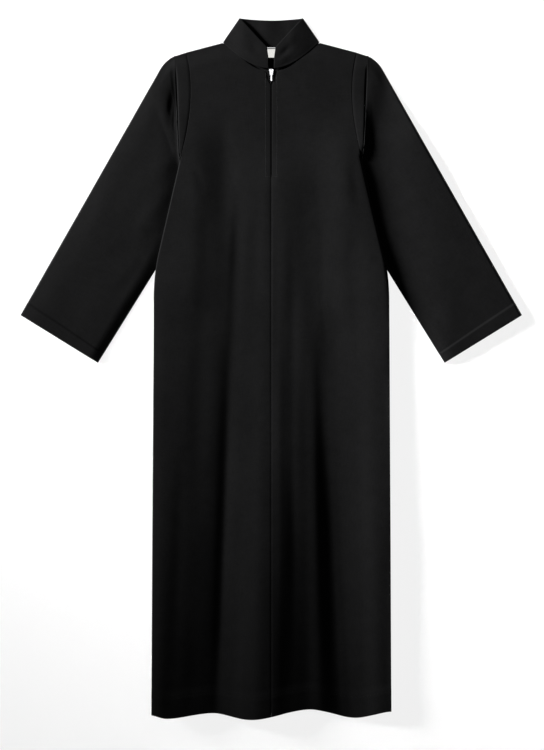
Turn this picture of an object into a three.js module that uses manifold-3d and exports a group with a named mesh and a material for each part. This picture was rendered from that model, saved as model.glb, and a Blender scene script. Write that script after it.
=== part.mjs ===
// A black clerical cassock laid flat on its back: two front panels that meet at a zip and, below it, at a
// centre seam, one back panel, two set-in sleeves, a stand collar and a blank label at the back neck.
// Millimetres. +X is the wearer's left, +Y points to the collar, and +Z is up from the surface it lies on.
// Plan sizes are half widths from the centre line and drops below the neck point, where the shoulder
// seam meets the collar. The front skirt rises in soft folds that open at the hem.

import * as THREE from 'three';
import Module from 'manifold-3d';

// Cloth
const CLOTH = 1.2;              // wall of one layer of twill
const SEAM = 0.3;               // air between two layers, and between two pieces at a seam
const HEM_DEPTH = 44;           // the hem's turned-up allowance, a second layer inside
const CUFF_DEPTH = 30;          // the same at the cuffs
const TURN_SLOPE = 16;          // length over which a turned-up allowance builds up

// Body plan
const NECK_HALF = 107;
const SHOULDER_HALF = 187;
const SHOULDER_DROP = 21;
const UNDERARM_HALF = 199;
const UNDERARM_DROP = 253;
const WAIST_HALF = 249;
const WAIST_DROP = 470;
const HIP_HALF = 258;
const HIP_DROP = 560;
const HEM_HALF = 262;
const HEM_DROP = 1471;
const FRONT_NECK_DROP = 59;
const BACK_NECK_DROP = 11;

// Sleeve plan
const SLEEVE_TILT = THREE.MathUtils.degToRad(31.7);
const CUFF_OUTER = new THREE.Vector2(551, -598);
const CUFF_WIDTH = 200;
const CUFF_INNER = CUFF_OUTER.clone().add(
  new THREE.Vector2(-Math.cos(SLEEVE_TILT), -Math.sin(SLEEVE_TILT)).multiplyScalar(CUFF_WIDTH)
);

// Heights of the laid cloth
const SLEEVE_STACK = 2 * CLOTH + SEAM;  // the sleeve pressed under the body
const TUCK_LIFT = SLEEVE_STACK + 3.6;   // the body's back where it stands over the tucked sleeve
const ARMHOLE_GAP = 0.8;                // the sleeve's seam edge beside the body's
const SLEEVE_LOFT = 8.5;                // how far the sleeve's upper layer stands off the lower one
const CHEST_LOFT = 4;                   // the same for the front over the back

// Collar
const COLLAR_WALL = 3;                  // two layers of twill and the canvas between them
const COLLAR_TOP_HALF = 68;
const COLLAR_RISE = 53.5;               // top corner above the neck point
const COLLAR_BACK_DIP = 4.5;            // the back's top edge at the centre, below the corners
const COLLAR_GAP_HALF = 8.6;            // half of the gap between the front ends' top corners
const COLLAR_GAP_DROP = 11;             // drop of those corners
const COLLAR_LOFT = 10.5;               // the front band's top edge above the surface, to its wall's middle

// Zip
const ZIP_END_DROP = 292;
const ZIP_SLIT_HALF = 1.2;
const ZIP_FLARE_HALF = 27;              // the front edges draw apart towards the collar
const ZIP_FLARE_NECK_DROP = 70;         // the flare's two bends meet here
const ZIP_FLARE_DROP = 92;
const TAPE_INNER = 2.9;
const TAPE_OUTER = 16;
const TAPE_WALL = 0.6;
const COIL_HALF = 2.5;
const COIL_HEIGHT = 1.3;
const SLIDER_DROP = 58.5;
const SLIDER_LENGTH = 12;
const SLIDER_HEAD_HALF = 4.8;
const SLIDER_TAIL_HALF = 3.4;
const PULL_LENGTH = 23;
const PULL_WALL = 0.9;
const PULL_HEAD_HALF = 2.4;
const PULL_STEM_HALF = 1.5;
const PLATE = 0.9;                      // wall of each of the slider's plates
const PLATE_CLEAR = 0.5;                // room between the upper plate and the cloth beside the coil
const BRIDGE_HALF = 0.8;
const BRIDGE_CLEAR = 1.7;               // room under the bridge for the pull's crossbar
const BRIDGE_WALL = 1;
const BRIDGE_FRONT = -1.2;
const BRIDGE_BACK = -8.6;
const PIVOT_BEHIND = 3.6;               // the pull's pivot, behind the slider's head
const PIVOT_OVER = 0.85;                // and above its upper plate

// Label
const LABEL_HALF = 17;
const LABEL_DEPTH = 20;
const LABEL_BELOW_NECK = 1.5;

// Lines of the front's folds, from the wearer's right to left: half width at the waist and at the hem,
// and height at each of FOLD_DROPS. Between the lines the cloth runs in a smooth curve.
const FOLD_DROPS = [300, 450, 630, 850, 1100, 1400];
const FOLDS = [
  { line: 'right side', waist: -262, hem: -264, heights: [2, 2, 9, 18, 27, 30] },
  { line: 'right roll', waist: -240, hem: -243, heights: [1, 2, 11, 19, 30, 32] },
  { line: 'right crest', waist: -212, hem: -222, heights: [0, 2, 11, 18, 29, 29] },
  { line: 'right fall', waist: -180, hem: -196, heights: [0, 2, 10, 16, 25, 25] },
  { line: 'right ledge', waist: -150, hem: -175, heights: [0, 1, 8, 13, 22, 21] },
  { line: 'right step', waist: -122, hem: -154, heights: [0, 2, 6, 11, 19, 18] },
  { line: 'right foot', waist: -100, hem: -136, heights: [1, 2, 4, 8, 16, 15] },
  { line: 'right valley', waist: -84, hem: -118, heights: [2, 0, 2, 5, 13, 12] },
  { line: 'middle foot', waist: -60, hem: -88, heights: [3, 1, 3, 7, 17, 18] },
  { line: 'middle rise', waist: -38, hem: -58, heights: [4, 1, 4, 9, 22, 28] },
  { line: 'middle crest', waist: -18, hem: -32, heights: [5, 2, 5, 11, 26, 34] },
  { line: 'centre', waist: 0, hem: -8, heights: [5, 2, 5, 11, 26, 33] },
  { line: 'seam ridge', waist: 14, hem: 12, heights: [6, 2, 4, 11, 24, 30] },
  { line: 'seam trough', waist: 31, hem: 32, heights: [6, 3, 4, 10, 21, 24] },
  { line: 'middle fall', waist: 52, hem: 55, heights: [6, 2, 3, 9, 16, 19] },
  { line: 'middle ledge', waist: 72, hem: 80, heights: [6, 1, 3, 7, 13, 14] },
  { line: 'left fall', waist: 90, hem: 108, heights: [6, 1, 2, 6, 11, 12] },
  { line: 'left valley', waist: 106, hem: 136, heights: [6, 1, 1, 2, 3, 3] },
  { line: 'left valley foot', waist: 121, hem: 151, heights: [6, 0, 0, 0, 0, 0] },
  { line: 'left rise', waist: 145, hem: 172, heights: [5, 0, 1, 1, 1, 0] },
  { line: 'left slope', waist: 180, hem: 205, heights: [5, 0, 6, 6, 8, 7] },
  { line: 'left shoulder', waist: 220, hem: 235, heights: [3, 3, 13, 14, 19, 19] },
  { line: 'left side', waist: 262, hem: 264, heights: [0, 3, 16, 18, 22, 22] },
];
const FOLDS_WAIST = 630;
const FOLDS_FROM = 190;
const FOLDS_FULL = 320;

// How far each pressed side edge stands off the surface
const SIDE_EDGES = [
  { drop: 470, right: 0, left: 4 },
  { drop: 560, right: 2, left: 14 },
  { drop: 630, right: 3, left: 20 },
  { drop: 850, right: 9, left: 22 },
  { drop: 1100, right: 16, left: 26 },
  { drop: 1471, right: 20, left: 26 },
];
const SIDE_EDGE_REACH = 60;     // width of the back that rises to the side edge
const SIDE_EDGE_START = 60;     // half the drop over which the side edge begins to rise
const SIDE_REACH_HIGH = 20;     // width over which the front comes down to the side edge, above the hips
const SIDE_REACH_LOW = 12;      // and below them

// Where the body stands over a tucked sleeve: it rises, stays and settles again
const TUCK = { riseFrom: 125, riseTo: 235, settleFrom: 520, settleTo: 640, inner: 95, outer: 172 };

// The hem's own line, as drops below HEM_DROP where it sways down (+) and up (-)
const HEM_SWAY = [
  { across: -264, sway: -1 },
  { across: -226, sway: 7 },
  { across: -133, sway: -2 },
  { across: -51, sway: 9 },
  { across: 84, sway: -10 },
  { across: 182, sway: 11 },
  { across: 264, sway: -7 },
];
const SWAY_REACH = 260;         // how far above the hem the rows follow its sway

// Rows of each panel: stretches between landmarks, as drops
const FRONT_ROWS = [
  { from: 1.5, to: SHOULDER_DROP, steps: 3 },
  { from: SHOULDER_DROP, to: 50, steps: 3 },
  { from: 50, to: FRONT_NECK_DROP, steps: 1 },
  { from: FRONT_NECK_DROP, to: FRONT_NECK_DROP + 3, steps: 2 },
  { from: FRONT_NECK_DROP + 3, to: ZIP_FLARE_NECK_DROP, steps: 1 },
  { from: ZIP_FLARE_NECK_DROP, to: ZIP_FLARE_DROP, steps: 2 },
  { from: ZIP_FLARE_DROP, to: UNDERARM_DROP, steps: 5 },
  { from: UNDERARM_DROP, to: ZIP_END_DROP, steps: 1 },
  { from: ZIP_END_DROP, to: ZIP_END_DROP + 5, steps: 1 },
  { from: ZIP_END_DROP + 5, to: HIP_DROP, steps: 3 },
  { from: HIP_DROP, to: HEM_DROP - HEM_DEPTH - TURN_SLOPE, steps: 5 },
  { from: HEM_DROP - HEM_DEPTH - TURN_SLOPE, to: HEM_DROP - HEM_DEPTH, steps: 1 },
  { from: HEM_DROP - HEM_DEPTH, to: HEM_DROP, steps: 1 },
];
const PANEL_COLUMNS = 13;       // across half of the body
const SLEEVE_ROWS = 11;
const SLEEVE_COLUMNS = 10;
const COLLAR_STEPS = 8;

const twill = new THREE.MeshStandardMaterial({ color: 0x1d1d1e, roughness: 0.88, metalness: 0 });
const collarTwill = new THREE.MeshStandardMaterial({ color: 0x202021, roughness: 0.86, metalness: 0 });
const tapeWeave = new THREE.MeshStandardMaterial({ color: 0x151516, roughness: 0.9, metalness: 0 });
const coilNylon = new THREE.MeshStandardMaterial({ color: 0x111112, roughness: 0.45, metalness: 0 });
const zipMetal = new THREE.MeshStandardMaterial({ color: 0x6f7072, roughness: 0.4, metalness: 0.9 });
const labelSatin = new THREE.MeshStandardMaterial({ color: 0xe6e4e0, roughness: 0.6, metalness: 0 });

const { lerp, clamp } = THREE.MathUtils;

// 0 below from, 1 above to, and a smooth rise between.
function ramp(value, from, to) {
  const t = clamp((value - from) / (to - from), 0, 1);
  return t * t * (3 - 2 * t);
}

// Drops of a panel's rows, from its table of stretches.
function rowDrops(stretches) {
  const drops = [stretches[0].from];
  for (const { from, to, steps } of stretches) {
    for (let i = 1; i <= steps; i++) drops.push(lerp(from, to, i / steps));
  }
  return drops;
}

// Half width of an outline at a drop. The outline runs steadily down.
function halfAt(path, drop) {
  const points = path.getSpacedPoints(600);
  const next = points.findIndex((p) => -p.y >= drop);
  if (next < 0) return points.at(-1).x;
  if (next === 0) return points[0].x;
  const [a, b] = [points[next - 1], points[next]];
  return lerp(a.x, b.x, (drop + a.y) / (a.y - b.y));
}

// Value that swings smoothly from row to row of a table of positions and values.
function swing(place, positions, values) {
  return values.reduce((total, value, i) => {
    if (i === 0) return value;
    return total + (value - values[i - 1]) * ramp(place, positions[i - 1], positions[i]);
  }, 0);
}

// A smooth curve through the values of a table, read at place.
function curveThrough(place, positions, values) {
  const last = positions.length - 1;
  const slope = (i) => {
    const [low, high] = [Math.max(i - 1, 0), Math.min(i + 1, last)];
    return (values[high] - values[low]) / (positions[high] - positions[low]);
  };
  const next = positions.findIndex((position) => position > place);
  const i = next < 0 ? last - 1 : clamp(next - 1, 0, last - 1);
  const span = positions[i + 1] - positions[i];
  const t = clamp((place - positions[i]) / span, 0, 1);
  const straight = lerp(values[i], values[i + 1], t * t * (3 - 2 * t));
  return straight + span * t * (1 - t) * ((1 - t) * slope(i) - t * slope(i + 1));
}

// Value of a table between its rows.
function between(table, drop, value) {
  const next = table.findIndex((row) => row.drop > drop);
  if (next === 0) return value(table[0]);
  if (next < 0) return value(table.at(-1));
  const [a, b] = [table[next - 1], table[next]];
  return lerp(value(a), value(b), (drop - a.drop) / (b.drop - a.drop));
}

const armhole = new THREE.CubicBezierCurve(
  new THREE.Vector2(SHOULDER_HALF, -SHOULDER_DROP),
  new THREE.Vector2(166, -95),
  new THREE.Vector2(180, -190),
  new THREE.Vector2(UNDERARM_HALF, -UNDERARM_DROP)
);

// Shoulder seam, armhole and side seam, down to the hem.
const bodySide = new THREE.Path();
bodySide.moveTo(NECK_HALF, 0);
bodySide.lineTo(SHOULDER_HALF, -SHOULDER_DROP);
bodySide.curves.push(armhole);
bodySide.currentPoint.copy(armhole.v3);
bodySide.lineTo(WAIST_HALF, -WAIST_DROP);
bodySide.quadraticCurveTo(257, -508, HIP_HALF, -HIP_DROP);
bodySide.lineTo(HEM_HALF, -HEM_DROP);

const sideOnly = new THREE.Path();
sideOnly.moveTo(SHOULDER_HALF, 0);
sideOnly.lineTo(UNDERARM_HALF, -UNDERARM_DROP);
sideOnly.lineTo(WAIST_HALF, -WAIST_DROP);
sideOnly.quadraticCurveTo(257, -508, HIP_HALF, -HIP_DROP);
sideOnly.lineTo(HEM_HALF, -HEM_DROP);

const frontNeckline = new THREE.QuadraticBezierCurve(
  new THREE.Vector2(NECK_HALF, 0),
  new THREE.Vector2(50, -58),
  new THREE.Vector2(ZIP_FLARE_HALF, -FRONT_NECK_DROP)
);

// Neckline, the front edge drawn apart at the slider, the zip's slit and the centre seam.
const frontEdge = new THREE.Path();
frontEdge.curves.push(frontNeckline);
frontEdge.currentPoint.copy(frontNeckline.v2);
frontEdge.quadraticCurveTo(11, -FRONT_NECK_DROP - 1, 10.4, -ZIP_FLARE_NECK_DROP);
frontEdge.quadraticCurveTo(9.5, -83, ZIP_SLIT_HALF, -ZIP_FLARE_DROP);
frontEdge.lineTo(ZIP_SLIT_HALF, -ZIP_END_DROP);
frontEdge.lineTo(SEAM / 2, -ZIP_END_DROP - 5);
frontEdge.lineTo(SEAM / 2, -HEM_DROP);

// Where the back's neck and shoulder edge lies, as a drop.
function backTopDrop(across) {
  const half = Math.abs(across);
  if (half <= NECK_HALF) return BACK_NECK_DROP * (1 - (half / NECK_HALF) ** 2);
  return SHOULDER_DROP * ((half - NECK_HALF) / (SHOULDER_HALF - NECK_HALF));
}

// The hem's second layer: 0 above it, 1 in it.
function hemTurn(drop) {
  return clamp((drop - (HEM_DROP - HEM_DEPTH - TURN_SLOPE)) / TURN_SLOPE, 0, 1);
}

// Height of the nearer side edge over the surface.
function sideEdge(across, drop) {
  const height = between(SIDE_EDGES, drop, (row) => (across < 0 ? row.right : row.left));
  const start = SIDE_EDGES[0].drop;
  return height * ramp(drop, start - SIDE_EDGE_START, start + SIDE_EDGE_START);
}

// How far the tucked sleeves raise the body.
function tuckedLift(across, drop) {
  const down = ramp(drop, TUCK.riseFrom, TUCK.riseTo) * (1 - ramp(drop, TUCK.settleFrom, TUCK.settleTo));
  return TUCK_LIFT * down * ramp(Math.abs(across), TUCK.inner, TUCK.outer);
}

// Underside of the back: flat on the surface, raised over the tucked sleeves and at the side edges.
function backUnder(across, drop) {
  const fromSide = halfAt(sideOnly, drop) - Math.abs(across);
  const near = clamp(1 - fromSide / SIDE_EDGE_REACH, 0, 1);
  return tuckedLift(across, drop) + sideEdge(across, drop) * near ** 2.2;
}

function backWall(drop) {
  return CLOTH * (1 + hemTurn(drop));
}

// Height that the folds add to the front.
function foldHeight(across, drop) {
  const spread = (drop - FOLDS_WAIST) / (HEM_DROP - FOLDS_WAIST);
  const positions = FOLDS.map((row) => lerp(row.waist, row.hem, spread));
  const heights = FOLDS.map((row) => curveThrough(drop, FOLD_DROPS, row.heights));
  return ramp(drop, FOLDS_FROM, FOLDS_FULL) * Math.max(curveThrough(across, positions, heights), 0);
}

// Share of its loft that the front keeps towards its edges, where it comes down to the back.
function frontFree(across, drop) {
  const half = Math.abs(across);
  const sideReach = lerp(SIDE_REACH_HIGH, SIDE_REACH_LOW, ramp(drop, SIDE_EDGES[0].drop, SIDE_EDGES[1].drop));
  const side = ramp(halfAt(sideOnly, drop) - half, 0, sideReach);
  const kept = 1 - ramp(drop, 130, UNDERARM_DROP);
  const shoulderDrop = SHOULDER_DROP * ((half - NECK_HALF) / (SHOULDER_HALF - NECK_HALF));
  const shoulder = ramp(drop - Math.max(shoulderDrop, 0), 0, 42);
  return shoulder * lerp(side, 1, kept);
}

// Underside of the front, over the back.
function frontUnder(across, drop) {
  const free = frontFree(across, drop);
  const resting = tuckedLift(across, drop) + sideEdge(across, drop) * (1 - free) + backWall(drop) + SEAM;
  return resting + free * (CHEST_LOFT + foldHeight(across, drop));
}

// Drop of a panel's row where the hem's sway carries it.
function swayed(across, drop) {
  const share = ramp(drop, HEM_DROP - SWAY_REACH, HEM_DROP);
  return drop + share * swing(across, HEM_SWAY.map((row) => row.across), HEM_SWAY.map((row) => row.sway));
}

// Closed geometry from vertices and quads of vertex numbers, each quad counter-clockwise from outside.
// A quad is split along the diagonal that runs outward and down, so that layers of cloth match.
function closedGeometry(vertices, quads) {
  const geometry = new THREE.BufferGeometry().setFromPoints(vertices);
  geometry.setIndex(quads.flatMap(([a, b, c, d]) => {
    const [p, q] = [vertices[a], vertices[c]];
    const outwardAndDown = (Math.abs(q.x) - Math.abs(p.x)) * (p.y - q.y) > 0;
    return outwardAndDown ? [a, b, c, a, c, d] : [b, c, d, b, d, a];
  }));
  geometry.computeVertexNormals();
  return geometry;
}

// A wall of cloth between two grids of points with the same rows and columns: over faces up.
function wallGeometry(over, under) {
  const rows = over.length;
  const columns = over[0].length;
  const top = (r, c) => r * columns + c;
  const base = (r, c) => rows * columns + top(r, c);
  const quads = [];
  for (let r = 0; r + 1 < rows; r++) {
    for (let c = 0; c + 1 < columns; c++) {
      quads.push([top(r, c), top(r + 1, c), top(r + 1, c + 1), top(r, c + 1)]);
      quads.push([base(r, c), base(r, c + 1), base(r + 1, c + 1), base(r + 1, c)]);
    }
    quads.push([top(r, 0), base(r, 0), base(r + 1, 0), top(r + 1, 0)]);
    const e = columns - 1;
    quads.push([top(r, e), top(r + 1, e), base(r + 1, e), base(r, e)]);
  }
  for (let c = 0; c + 1 < columns; c++) {
    quads.push([top(0, c), top(0, c + 1), base(0, c + 1), base(0, c)]);
    const e = rows - 1;
    quads.push([top(e, c), base(e, c), base(e, c + 1), top(e, c + 1)]);
  }
  return closedGeometry([...over.flat(), ...under.flat()], quads);
}

// A wall between two tubes of rings: each ring runs round once, and the two ends are open.
function tubeGeometry(outer, inner) {
  const rings = outer.length;
  const around = outer[0].length;
  const out = (r, k) => r * around + (k % around);
  const within = (r, k) => rings * around + out(r, k);
  const quads = [];
  for (let k = 0; k < around; k++) {
    for (let r = 0; r + 1 < rings; r++) {
      quads.push([out(r, k), out(r, k + 1), out(r + 1, k + 1), out(r + 1, k)]);
      quads.push([within(r, k), within(r + 1, k), within(r + 1, k + 1), within(r, k + 1)]);
    }
    const e = rings - 1;
    quads.push([out(0, k), within(0, k), within(0, k + 1), out(0, k + 1)]);
    quads.push([out(e, k), out(e, k + 1), within(e, k + 1), within(e, k)]);
  }
  return closedGeometry([...outer.flat(), ...inner.flat()], quads);
}

// Turns every face round, for a piece built on the mirrored side.
function turned(geometry) {
  const index = geometry.index.array;
  for (let i = 0; i < index.length; i += 3) [index[i], index[i + 1]] = [index[i + 1], index[i]];
  geometry.computeVertexNormals();
  return geometry;
}

// One front panel: side is 1 for the wearer's left, -1 for the right.
function frontGeometry(side) {
  const over = [];
  const under = [];
  for (const drop of rowDrops(FRONT_ROWS)) {
    const inner = halfAt(frontEdge, drop);
    const outer = halfAt(bodySide, drop);
    const points = Array.from({ length: PANEL_COLUMNS + 1 }, (_, c) => {
      const across = side * lerp(inner, outer, c / PANEL_COLUMNS);
      return { across, y: -swayed(across, drop), z: frontUnder(across, drop) };
    });
    under.push(points.map((p) => new THREE.Vector3(p.across, p.y, p.z)));
    over.push(points.map((p) => new THREE.Vector3(p.across, p.y, p.z + backWall(drop))));
  }
  const geometry = wallGeometry(over, under);
  return side > 0 ? geometry : turned(geometry);
}

function backGeometry() {
  const over = [];
  const under = [];
  for (const drop of rowDrops(FRONT_ROWS).filter((row) => row >= SHOULDER_DROP)) {
    const half = halfAt(bodySide, drop);
    const follow = 1 - ramp(drop, SHOULDER_DROP, 110);
    const points = Array.from({ length: 2 * PANEL_COLUMNS + 1 }, (_, c) => {
      const across = lerp(-half, half, c / (2 * PANEL_COLUMNS));
      const level = drop + follow * (backTopDrop((across / half) * SHOULDER_HALF) - SHOULDER_DROP);
      return { across, y: -swayed(across, level), z: backUnder(across, level) };
    });
    under.push(points.map((p) => new THREE.Vector3(p.across, p.y, p.z)));
    over.push(points.map((p) => new THREE.Vector3(p.across, p.y, p.z + backWall(drop))));
  }
  return wallGeometry(over, under);
}

// Sleeve outline: its upper fold from the shoulder to the cuff.
const sleeveTopEdge = new THREE.Path();
sleeveTopEdge.moveTo(215.5, -31);
sleeveTopEdge.quadraticCurveTo(234, -39, 245.5, -60);
sleeveTopEdge.lineTo(CUFF_OUTER.x, CUFF_OUTER.y);

// Sleeve outline: its lower edge, tucked under the body near the underarm.
const sleeveLowerEdge = new THREE.Path();
sleeveLowerEdge.moveTo(203.5, -263);
sleeveLowerEdge.bezierCurveTo(190, -312, 176, -372, 203, -416);
sleeveLowerEdge.lineTo(CUFF_INNER.x, CUFF_INNER.y);

// Front of the armhole's fold: the sleeve head hangs level with the body up to this line.
const headFold = new THREE.QuadraticBezierCurve(
  new THREE.Vector2(209.5, -28.3),
  new THREE.Vector2(205, -110),
  new THREE.Vector2(200.6, -254)
);
const headFoldFoot = new THREE.QuadraticBezierCurve(
  new THREE.Vector2(215.5, -31),
  new THREE.Vector2(212, -110),
  new THREE.Vector2(203.5, -263)
);
const cuffLine = new THREE.LineCurve(CUFF_OUTER, CUFF_INNER);

// Point of the sleeve's plan below the head fold: along runs 0 at the fold to 1 at the cuff, and across
// runs 0 at the upper fold to 1 at the lower edge.
function sleevePlan(along, across) {
  const ends = headFoldFoot.getPoint(across).multiplyScalar(1 - along)
    .add(cuffLine.getPoint(across).multiplyScalar(along));
  const sides = sleeveTopEdge.getPoint(along).multiplyScalar(1 - across)
    .add(sleeveLowerEdge.getPoint(along).multiplyScalar(across));
  const headCorners = sleeveTopEdge.getPoint(0).multiplyScalar(1 - across)
    .add(sleeveLowerEdge.getPoint(0).multiplyScalar(across)).multiplyScalar(1 - along);
  const cuffCorners = CUFF_OUTER.clone().multiplyScalar(1 - across)
    .add(CUFF_INNER.clone().multiplyScalar(across)).multiplyScalar(along);
  return ends.add(sides).sub(headCorners).sub(cuffCorners);
}

// How far the sleeve's upper layer is free to rise: not under the body, and least at its two folds.
function sleeveLoft(plan, along, across) {
  const clearOfBody = ramp(plan.x - halfAt(sideOnly, -plan.y), 6, 55);
  const crown = 1 - Math.abs(2 * across - 1) ** 4;
  return SLEEVE_LOFT * clearOfBody * crown * ramp(along, 0, 0.2);
}

// Rows of the sleeve: plan, underside of the lower layer, top of the upper layer, and the wall there.
function sleeveSections() {
  const stations = Array.from({ length: SLEEVE_COLUMNS + 1 }, (_, c) => {
    const across = c / SLEEVE_COLUMNS;
    return lerp(across, ramp(across, 0, 1), 0.8);
  });
  const seamHeights = stations.map((across) => {
    const p = armhole.getPoint(across);
    return { low: backUnder(p.x, -p.y), high: frontUnder(p.x, -p.y) + CLOTH };
  });
  const atSeam = (curve, gap) => stations.map((across, c) => {
    const plan = curve.getPoint(across).add(new THREE.Vector2(gap, 0));
    return { plan, ...seamHeights[c], wall: CLOTH };
  });
  const sections = [atSeam(armhole, ARMHOLE_GAP), atSeam(headFold, 0)];
  const cuffTurnAt = 1 - CUFF_DEPTH / CUFF_OUTER.distanceTo(sleeveTopEdge.getPoint(0));
  const alongs = Array.from({ length: SLEEVE_ROWS }, (_, r) => (r / (SLEEVE_ROWS - 1)) * (cuffTurnAt - 0.03));
  for (const along of [...alongs, cuffTurnAt, 1]) {
    const wall = along < cuffTurnAt ? CLOTH : 2 * CLOTH;
    sections.push(stations.map((across) => {
      const plan = sleevePlan(along, across);
      const high = 2 * wall + SEAM + sleeveLoft(plan, along, across);
      return { plan, low: 0, high, wall };
    }));
  }
  return sections;
}

function sleeveGeometry(side) {
  const outer = [];
  const inner = [];
  for (const section of sleeveSections()) {
    const last = section.length - 1;
    const inset = section.map((s, c) => {
      if (c !== 0 && c !== last) return s.plan;
      const neighbour = section[c === 0 ? 1 : last - 1].plan;
      return s.plan.clone().add(neighbour.clone().sub(s.plan).setLength(s.wall));
    });
    const point = (plan, z) => new THREE.Vector3(side * plan.x, plan.y, z);
    const upper = section.map((s) => point(s.plan, s.high));
    const lower = section.map((s) => point(s.plan, s.low));
    const upperInside = section.map((s, c) => point(inset[c], s.high - s.wall));
    const lowerInside = section.map((s, c) => point(inset[c], s.low + s.wall));
    outer.push([...upper, ...lower.reverse()]);
    inner.push([...upperInside, ...lowerInside.reverse()]);
  }
  const geometry = tubeGeometry(outer, inner);
  return side > 0 ? geometry : turned(geometry);
}

// Collar stations of one half, from its front edge round the side fold to the centre back: the middle of
// the wall at its bottom and top edges.
function collarStations(side) {
  const seamHeight = frontUnder(60, 45) + COLLAR_WALL / 2;
  const bottomFront = new THREE.QuadraticBezierCurve(
    new THREE.Vector2(4.4, -FRONT_NECK_DROP + 2),
    new THREE.Vector2(50, -55.5),
    new THREE.Vector2(NECK_HALF - 1.5, 2.5)
  );
  const frontEnd = new THREE.Vector2(COLLAR_GAP_HALF, -COLLAR_GAP_DROP);
  const frontCorner = new THREE.Vector2(COLLAR_TOP_HALF, COLLAR_RISE);
  const stations = [];
  const addStation = (reach, isFront) => {
    const level = Math.sqrt(Math.max(0, 1 - reach ** 5)) * (isFront ? 1 : -1);
    const floor = COLLAR_WALL / 2;
    const bottom = isFront
      ? bottomFront.getPoint(reach)
      : new THREE.Vector2(reach * (NECK_HALF - 1.5), lerp(1.2 - BACK_NECK_DROP, 2.5, reach ** 2));
    const top = isFront
      ? frontEnd.clone().lerp(frontCorner, reach)
      : new THREE.Vector2(reach * COLLAR_TOP_HALF, COLLAR_RISE - COLLAR_BACK_DIP * (1 - reach ** 1.5));
    const bottomZ = floor + ((seamHeight - floor) * (1 + level)) / 2;
    const topZ = floor + ((COLLAR_LOFT - floor) * (1 + level)) / 2;
    stations.push({
      bottom: new THREE.Vector3(side * bottom.x, bottom.y, bottomZ),
      top: new THREE.Vector3(side * top.x, top.y, topZ),
    });
  };
  const reaches = Array.from({ length: COLLAR_STEPS }, (_, i) => 1 - (1 - i / COLLAR_STEPS) ** 2);
  reaches.forEach((reach) => addStation(reach, true));
  addStation(1, true);
  reaches.reverse().forEach((reach) => addStation(reach, false));
  return stations;
}

function collarGeometry() {
  const right = collarStations(-1);
  const left = collarStations(1).reverse().slice(1);
  const band = [...right, ...left];
  const sections = band.map(({ bottom, top }, i) => {
    const before = band[Math.max(i - 1, 0)];
    const after = band[Math.min(i + 1, band.length - 1)];
    const up = top.clone().sub(bottom);
    const outward = (edge) => {
      const run = after[edge].clone().sub(before[edge]);
      return up.clone().cross(run).setLength(COLLAR_WALL / 2);
    };
    const low = outward('bottom');
    const high = outward('top');
    return [
      bottom.clone().add(low), top.clone().add(high), top.clone().sub(high), bottom.clone().sub(low),
    ];
  });
  const corner = (s, k) => s * 4 + (k % 4);
  const quads = [[0, 3, 2, 1], [0, 1, 2, 3].map((k) => corner(sections.length - 1, k))];
  for (let s = 0; s + 1 < sections.length; s++) {
    for (let k = 0; k < 4; k++) {
      quads.push([corner(s, k), corner(s, k + 1), corner(s + 1, k + 1), corner(s + 1, k)]);
    }
  }
  return closedGeometry(sections.flat(), quads);
}

// A strip that lies just under the front, on one side of the zip or along its middle.
function underFrontStrip(innerHalf, outerHalf, topDrop, thickness, below) {
  const between = rowDrops(FRONT_ROWS).filter((drop) => drop > topDrop + 4 && drop < ZIP_END_DROP);
  const drops = [topDrop, ...between, ZIP_END_DROP + 4];
  const grid = (lift) => drops.map((drop) => [innerHalf, outerHalf].map((across) => (
    new THREE.Vector3(across, -drop, frontUnder(across, drop) - below - thickness + lift)
  )));
  return wallGeometry(grid(thickness), grid(0));
}

const zipHeight = frontUnder(0, SLIDER_DROP + SLIDER_LENGTH / 2);

const wasm = await Module();
wasm.setup();

// A closed geometry as a solid that can be joined and cut.
function solidOf(geometry) {
  const source = geometry.index ? geometry.toNonIndexed() : geometry;
  const positions = source.getAttribute('position');
  const numbers = new Map();
  const vertProperties = [];
  const triVerts = Array.from({ length: positions.count }, (_, i) => {
    const point = [positions.getX(i), positions.getY(i), positions.getZ(i)];
    const key = point.map((v) => v.toFixed(4)).join();
    if (!numbers.has(key)) {
      numbers.set(key, numbers.size);
      vertProperties.push(...point);
    }
    return numbers.get(key);
  });
  return new wasm.Manifold(new wasm.Mesh({
    numProp: 3,
    vertProperties: new Float32Array(vertProperties),
    triVerts: new Uint32Array(triVerts),
  }));
}

function geometryOf(solid) {
  const { vertProperties, triVerts } = solid.getMesh();
  const geometry = new THREE.BufferGeometry();
  geometry.setAttribute('position', new THREE.BufferAttribute(vertProperties, 3));
  geometry.setIndex(new THREE.BufferAttribute(triVerts, 1));
  geometry.computeVertexNormals();
  return geometry;
}

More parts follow.
